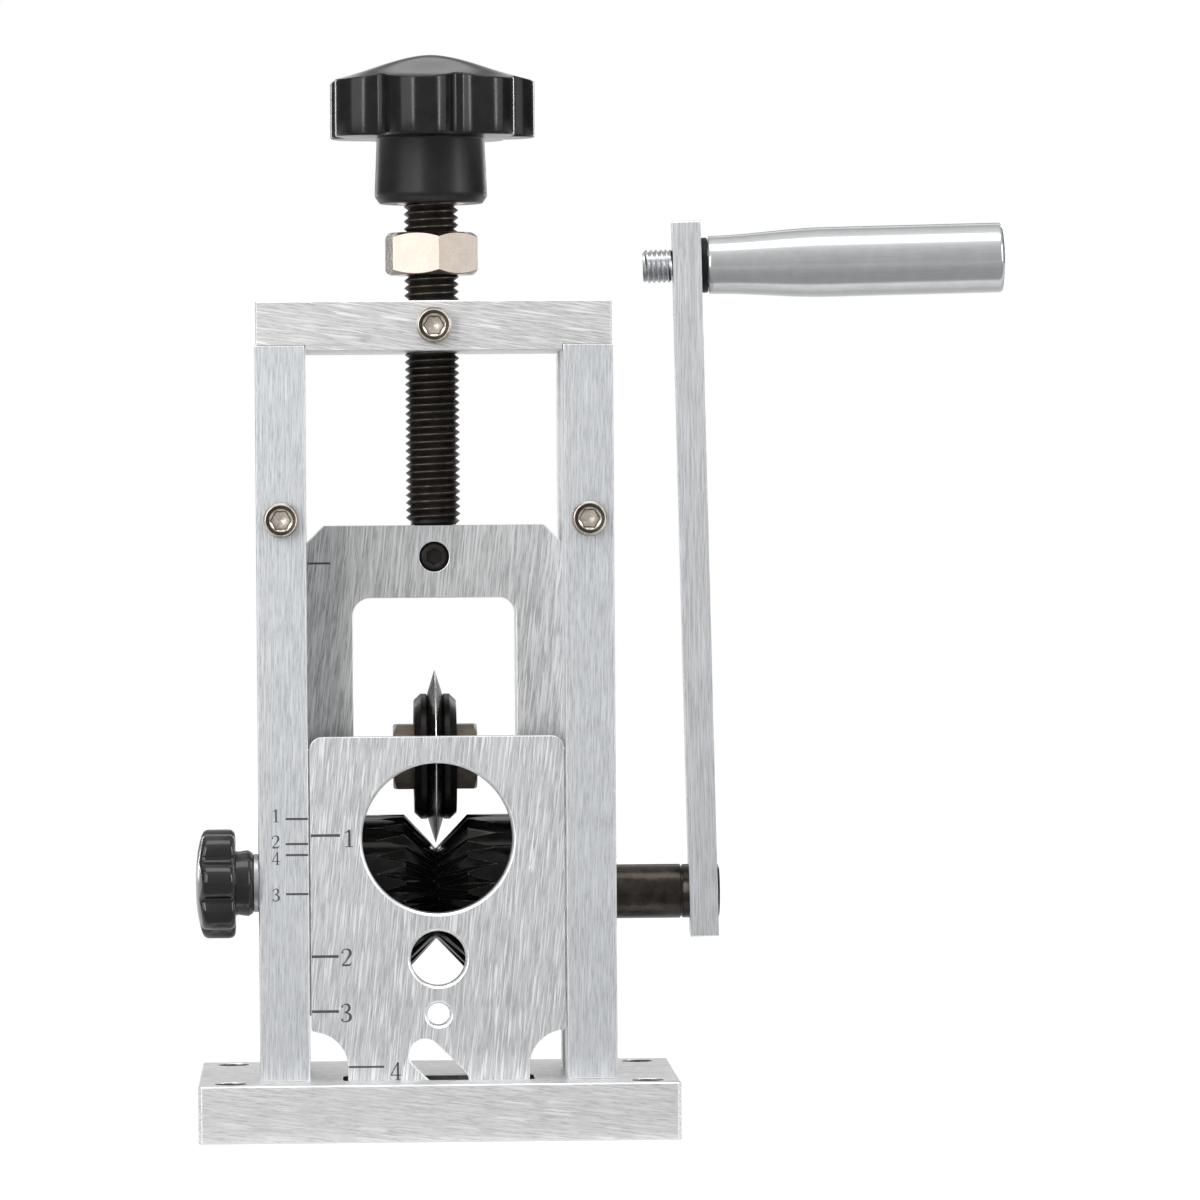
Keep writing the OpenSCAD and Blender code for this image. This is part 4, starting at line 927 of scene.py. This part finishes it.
world = bpy.data.worlds.new("studio")
bpy.context.scene.world = world
world.use_nodes = True
wt = world.node_tree
wt.nodes.clear()
w_out = wt.nodes.new("ShaderNodeOutputWorld")
w_seen = wt.nodes.new("ShaderNodeBackground")
w_seen.inputs["Color"].default_value = (1, 1, 1, 1)
w_seen.inputs["Strength"].default_value = 1.0
w_light = wt.nodes.new("ShaderNodeBackground")
w_coord = wt.nodes.new("ShaderNodeTexCoord")
w_split = wt.nodes.new("ShaderNodeSeparateXYZ")
wt.links.new(w_coord.outputs["Generated"], w_split.inputs[0])


def w_curve(output, stops):
    """A smooth level along one direction: stops are (direction from -1 to 1, level)."""
    half = wt.nodes.new("ShaderNodeMath")
    half.operation = "MULTIPLY_ADD"
    half.inputs[1].default_value = 0.5
    half.inputs[2].default_value = 0.5
    wt.links.new(w_split.outputs[output], half.inputs[0])
    level = wt.nodes.new("ShaderNodeFloatCurve")
    curve = level.mapping.curves[0]
    for toward, value in stops:
        if toward in (-1.0, 1.0):
            curve.points[0 if toward < 0 else -1].location = (toward / 2 + 0.5, value)
        else:
            curve.points.new(toward / 2 + 0.5, value)
    level.mapping.update()
    wt.links.new(half.outputs[0], level.inputs["Value"])
    return level.outputs["Value"]


# The room is mid grey and paler overhead. The white background stands behind the object and to the
# right of it, and fades out from 9 to 19 degrees up
w_room = w_curve("Y", ((-1.0, 0.66), (-0.5, 0.56), (0.0, 0.34), (0.5, 0.22), (1.0, 0.16)))
w_back = w_curve("Y", ((-1.0, 0.0), (0.84, 0.0), (0.95, 0.6), (1.0, 0.84)))
w_side = w_curve("X", ((-1.0, 0.0), (-0.24, 0.0), (-0.10, 1.0), (1.0, 1.0)))
w_low = w_curve("Z", ((-1.0, 1.0), (0.15, 1.0), (0.32, 0.0), (1.0, 0.0)))
w_high = w_curve("Z", ((-1.0, 0.0), (0.1, 0.0), (0.5, 0.16), (0.85, 0.60), (1.0, 0.8)))
w_white = arithmetic(wt, "MULTIPLY", arithmetic(wt, "MULTIPLY", w_back, w_side), w_low)
w_sum = arithmetic(wt, "ADD", arithmetic(wt, "ADD", w_room, w_high), w_white)
w_light.inputs["Color"].default_value = (1, 1, 1, 1)
wt.links.new(w_sum, w_light.inputs["Strength"])
w_path = wt.nodes.new("ShaderNodeLightPath")
w_either = arithmetic(wt, "MAXIMUM", w_path.outputs["Is Camera Ray"], w_path.outputs["Is Transmission Ray"])
w_mix = wt.nodes.new("ShaderNodeMixShader")
wt.links.new(w_either, w_mix.inputs[0])
wt.links.new(w_light.outputs[0], w_mix.inputs[1])
wt.links.new(w_seen.outputs[0], w_mix.inputs[2])
wt.links.new(w_mix.outputs[0], w_out.inputs["Surface"])


def soft_box(name, place_at, target, width, height, power):
    """A lamp that looks at a target. Places and sizes are in metres, power is in watts."""
    data = bpy.data.lights.new(name, "AREA")
    data.shape = "RECTANGLE"
    data.size = width
    data.size_y = height
    data.energy = power
    lamp = bpy.data.objects.new(name, data)
    bpy.context.scene.collection.objects.link(lamp)
    lamp.location = place_at
    lamp.rotation_mode = "QUATERNION"
    lamp.rotation_quaternion = (Vector(target) - Vector(place_at)).to_track_quat("-Z", "Y")


soft_box("key", (-0.98, -0.92, 0.55), (0, 0, 0.12), 1.0, 1.3, 8.5)
soft_box("fill", (1.30, -0.55, 0.45), (0, 0, 0.12), 0.8, 1.0, 3.6)
soft_box("top", (0.0, -0.34, 1.25), (0, 0, 0.1), 1.2, 0.55, 5.0)
soft_box("strip_left", (-0.62, -1.28, 0.45), (0, 0, 0.16), 0.14, 1.0, 4.2)
soft_box("strip_right", (1.20, -0.75, 0.45), (0, 0, 0.16), 0.14, 1.0, 4.2)
soft_box("rim_left", (-0.62, 1.20, 0.35), (0, 0, 0.16), 0.16, 0.7, 1.8)
soft_box("rim_right", (0.62, 1.20, 0.35), (0, 0, 0.16), 0.16, 0.7, 1.8)
soft_box("back", (0.15, 1.15, 0.95), (0, 0, 0.18), 1.4, 0.36, 1.3)

# ------------------------------------------------------------------- camera
# The place comes from the photograph's vanishing point of the lines along the depth, and the roll and
# the lens from the length and the lean of the edges in it
cam_data = bpy.data.cameras.new("camera")
camera = bpy.data.objects.new("camera", cam_data)
bpy.context.scene.collection.objects.link(camera)
camera.location = Vector((-22.4, -1420.0, 129.4)) * MM
aim = Vector((32.81, -20.0, 107.25)) * MM
camera.rotation_mode = "QUATERNION"
roll = Matrix.Rotation(math.radians(-0.4), 3, "Z")
look = (aim - camera.location).to_track_quat("-Z", "Y").to_matrix()
camera.rotation_quaternion = (look @ roll).to_quaternion()
cam_data.sensor_width = 36.0
cam_data.lens = 210.4
cam_data.clip_start = 0.05
cam_data.clip_end = 20.0
bpy.context.scene.camera = camera
bpy.context.scene.view_settings.view_transform = "Standard"
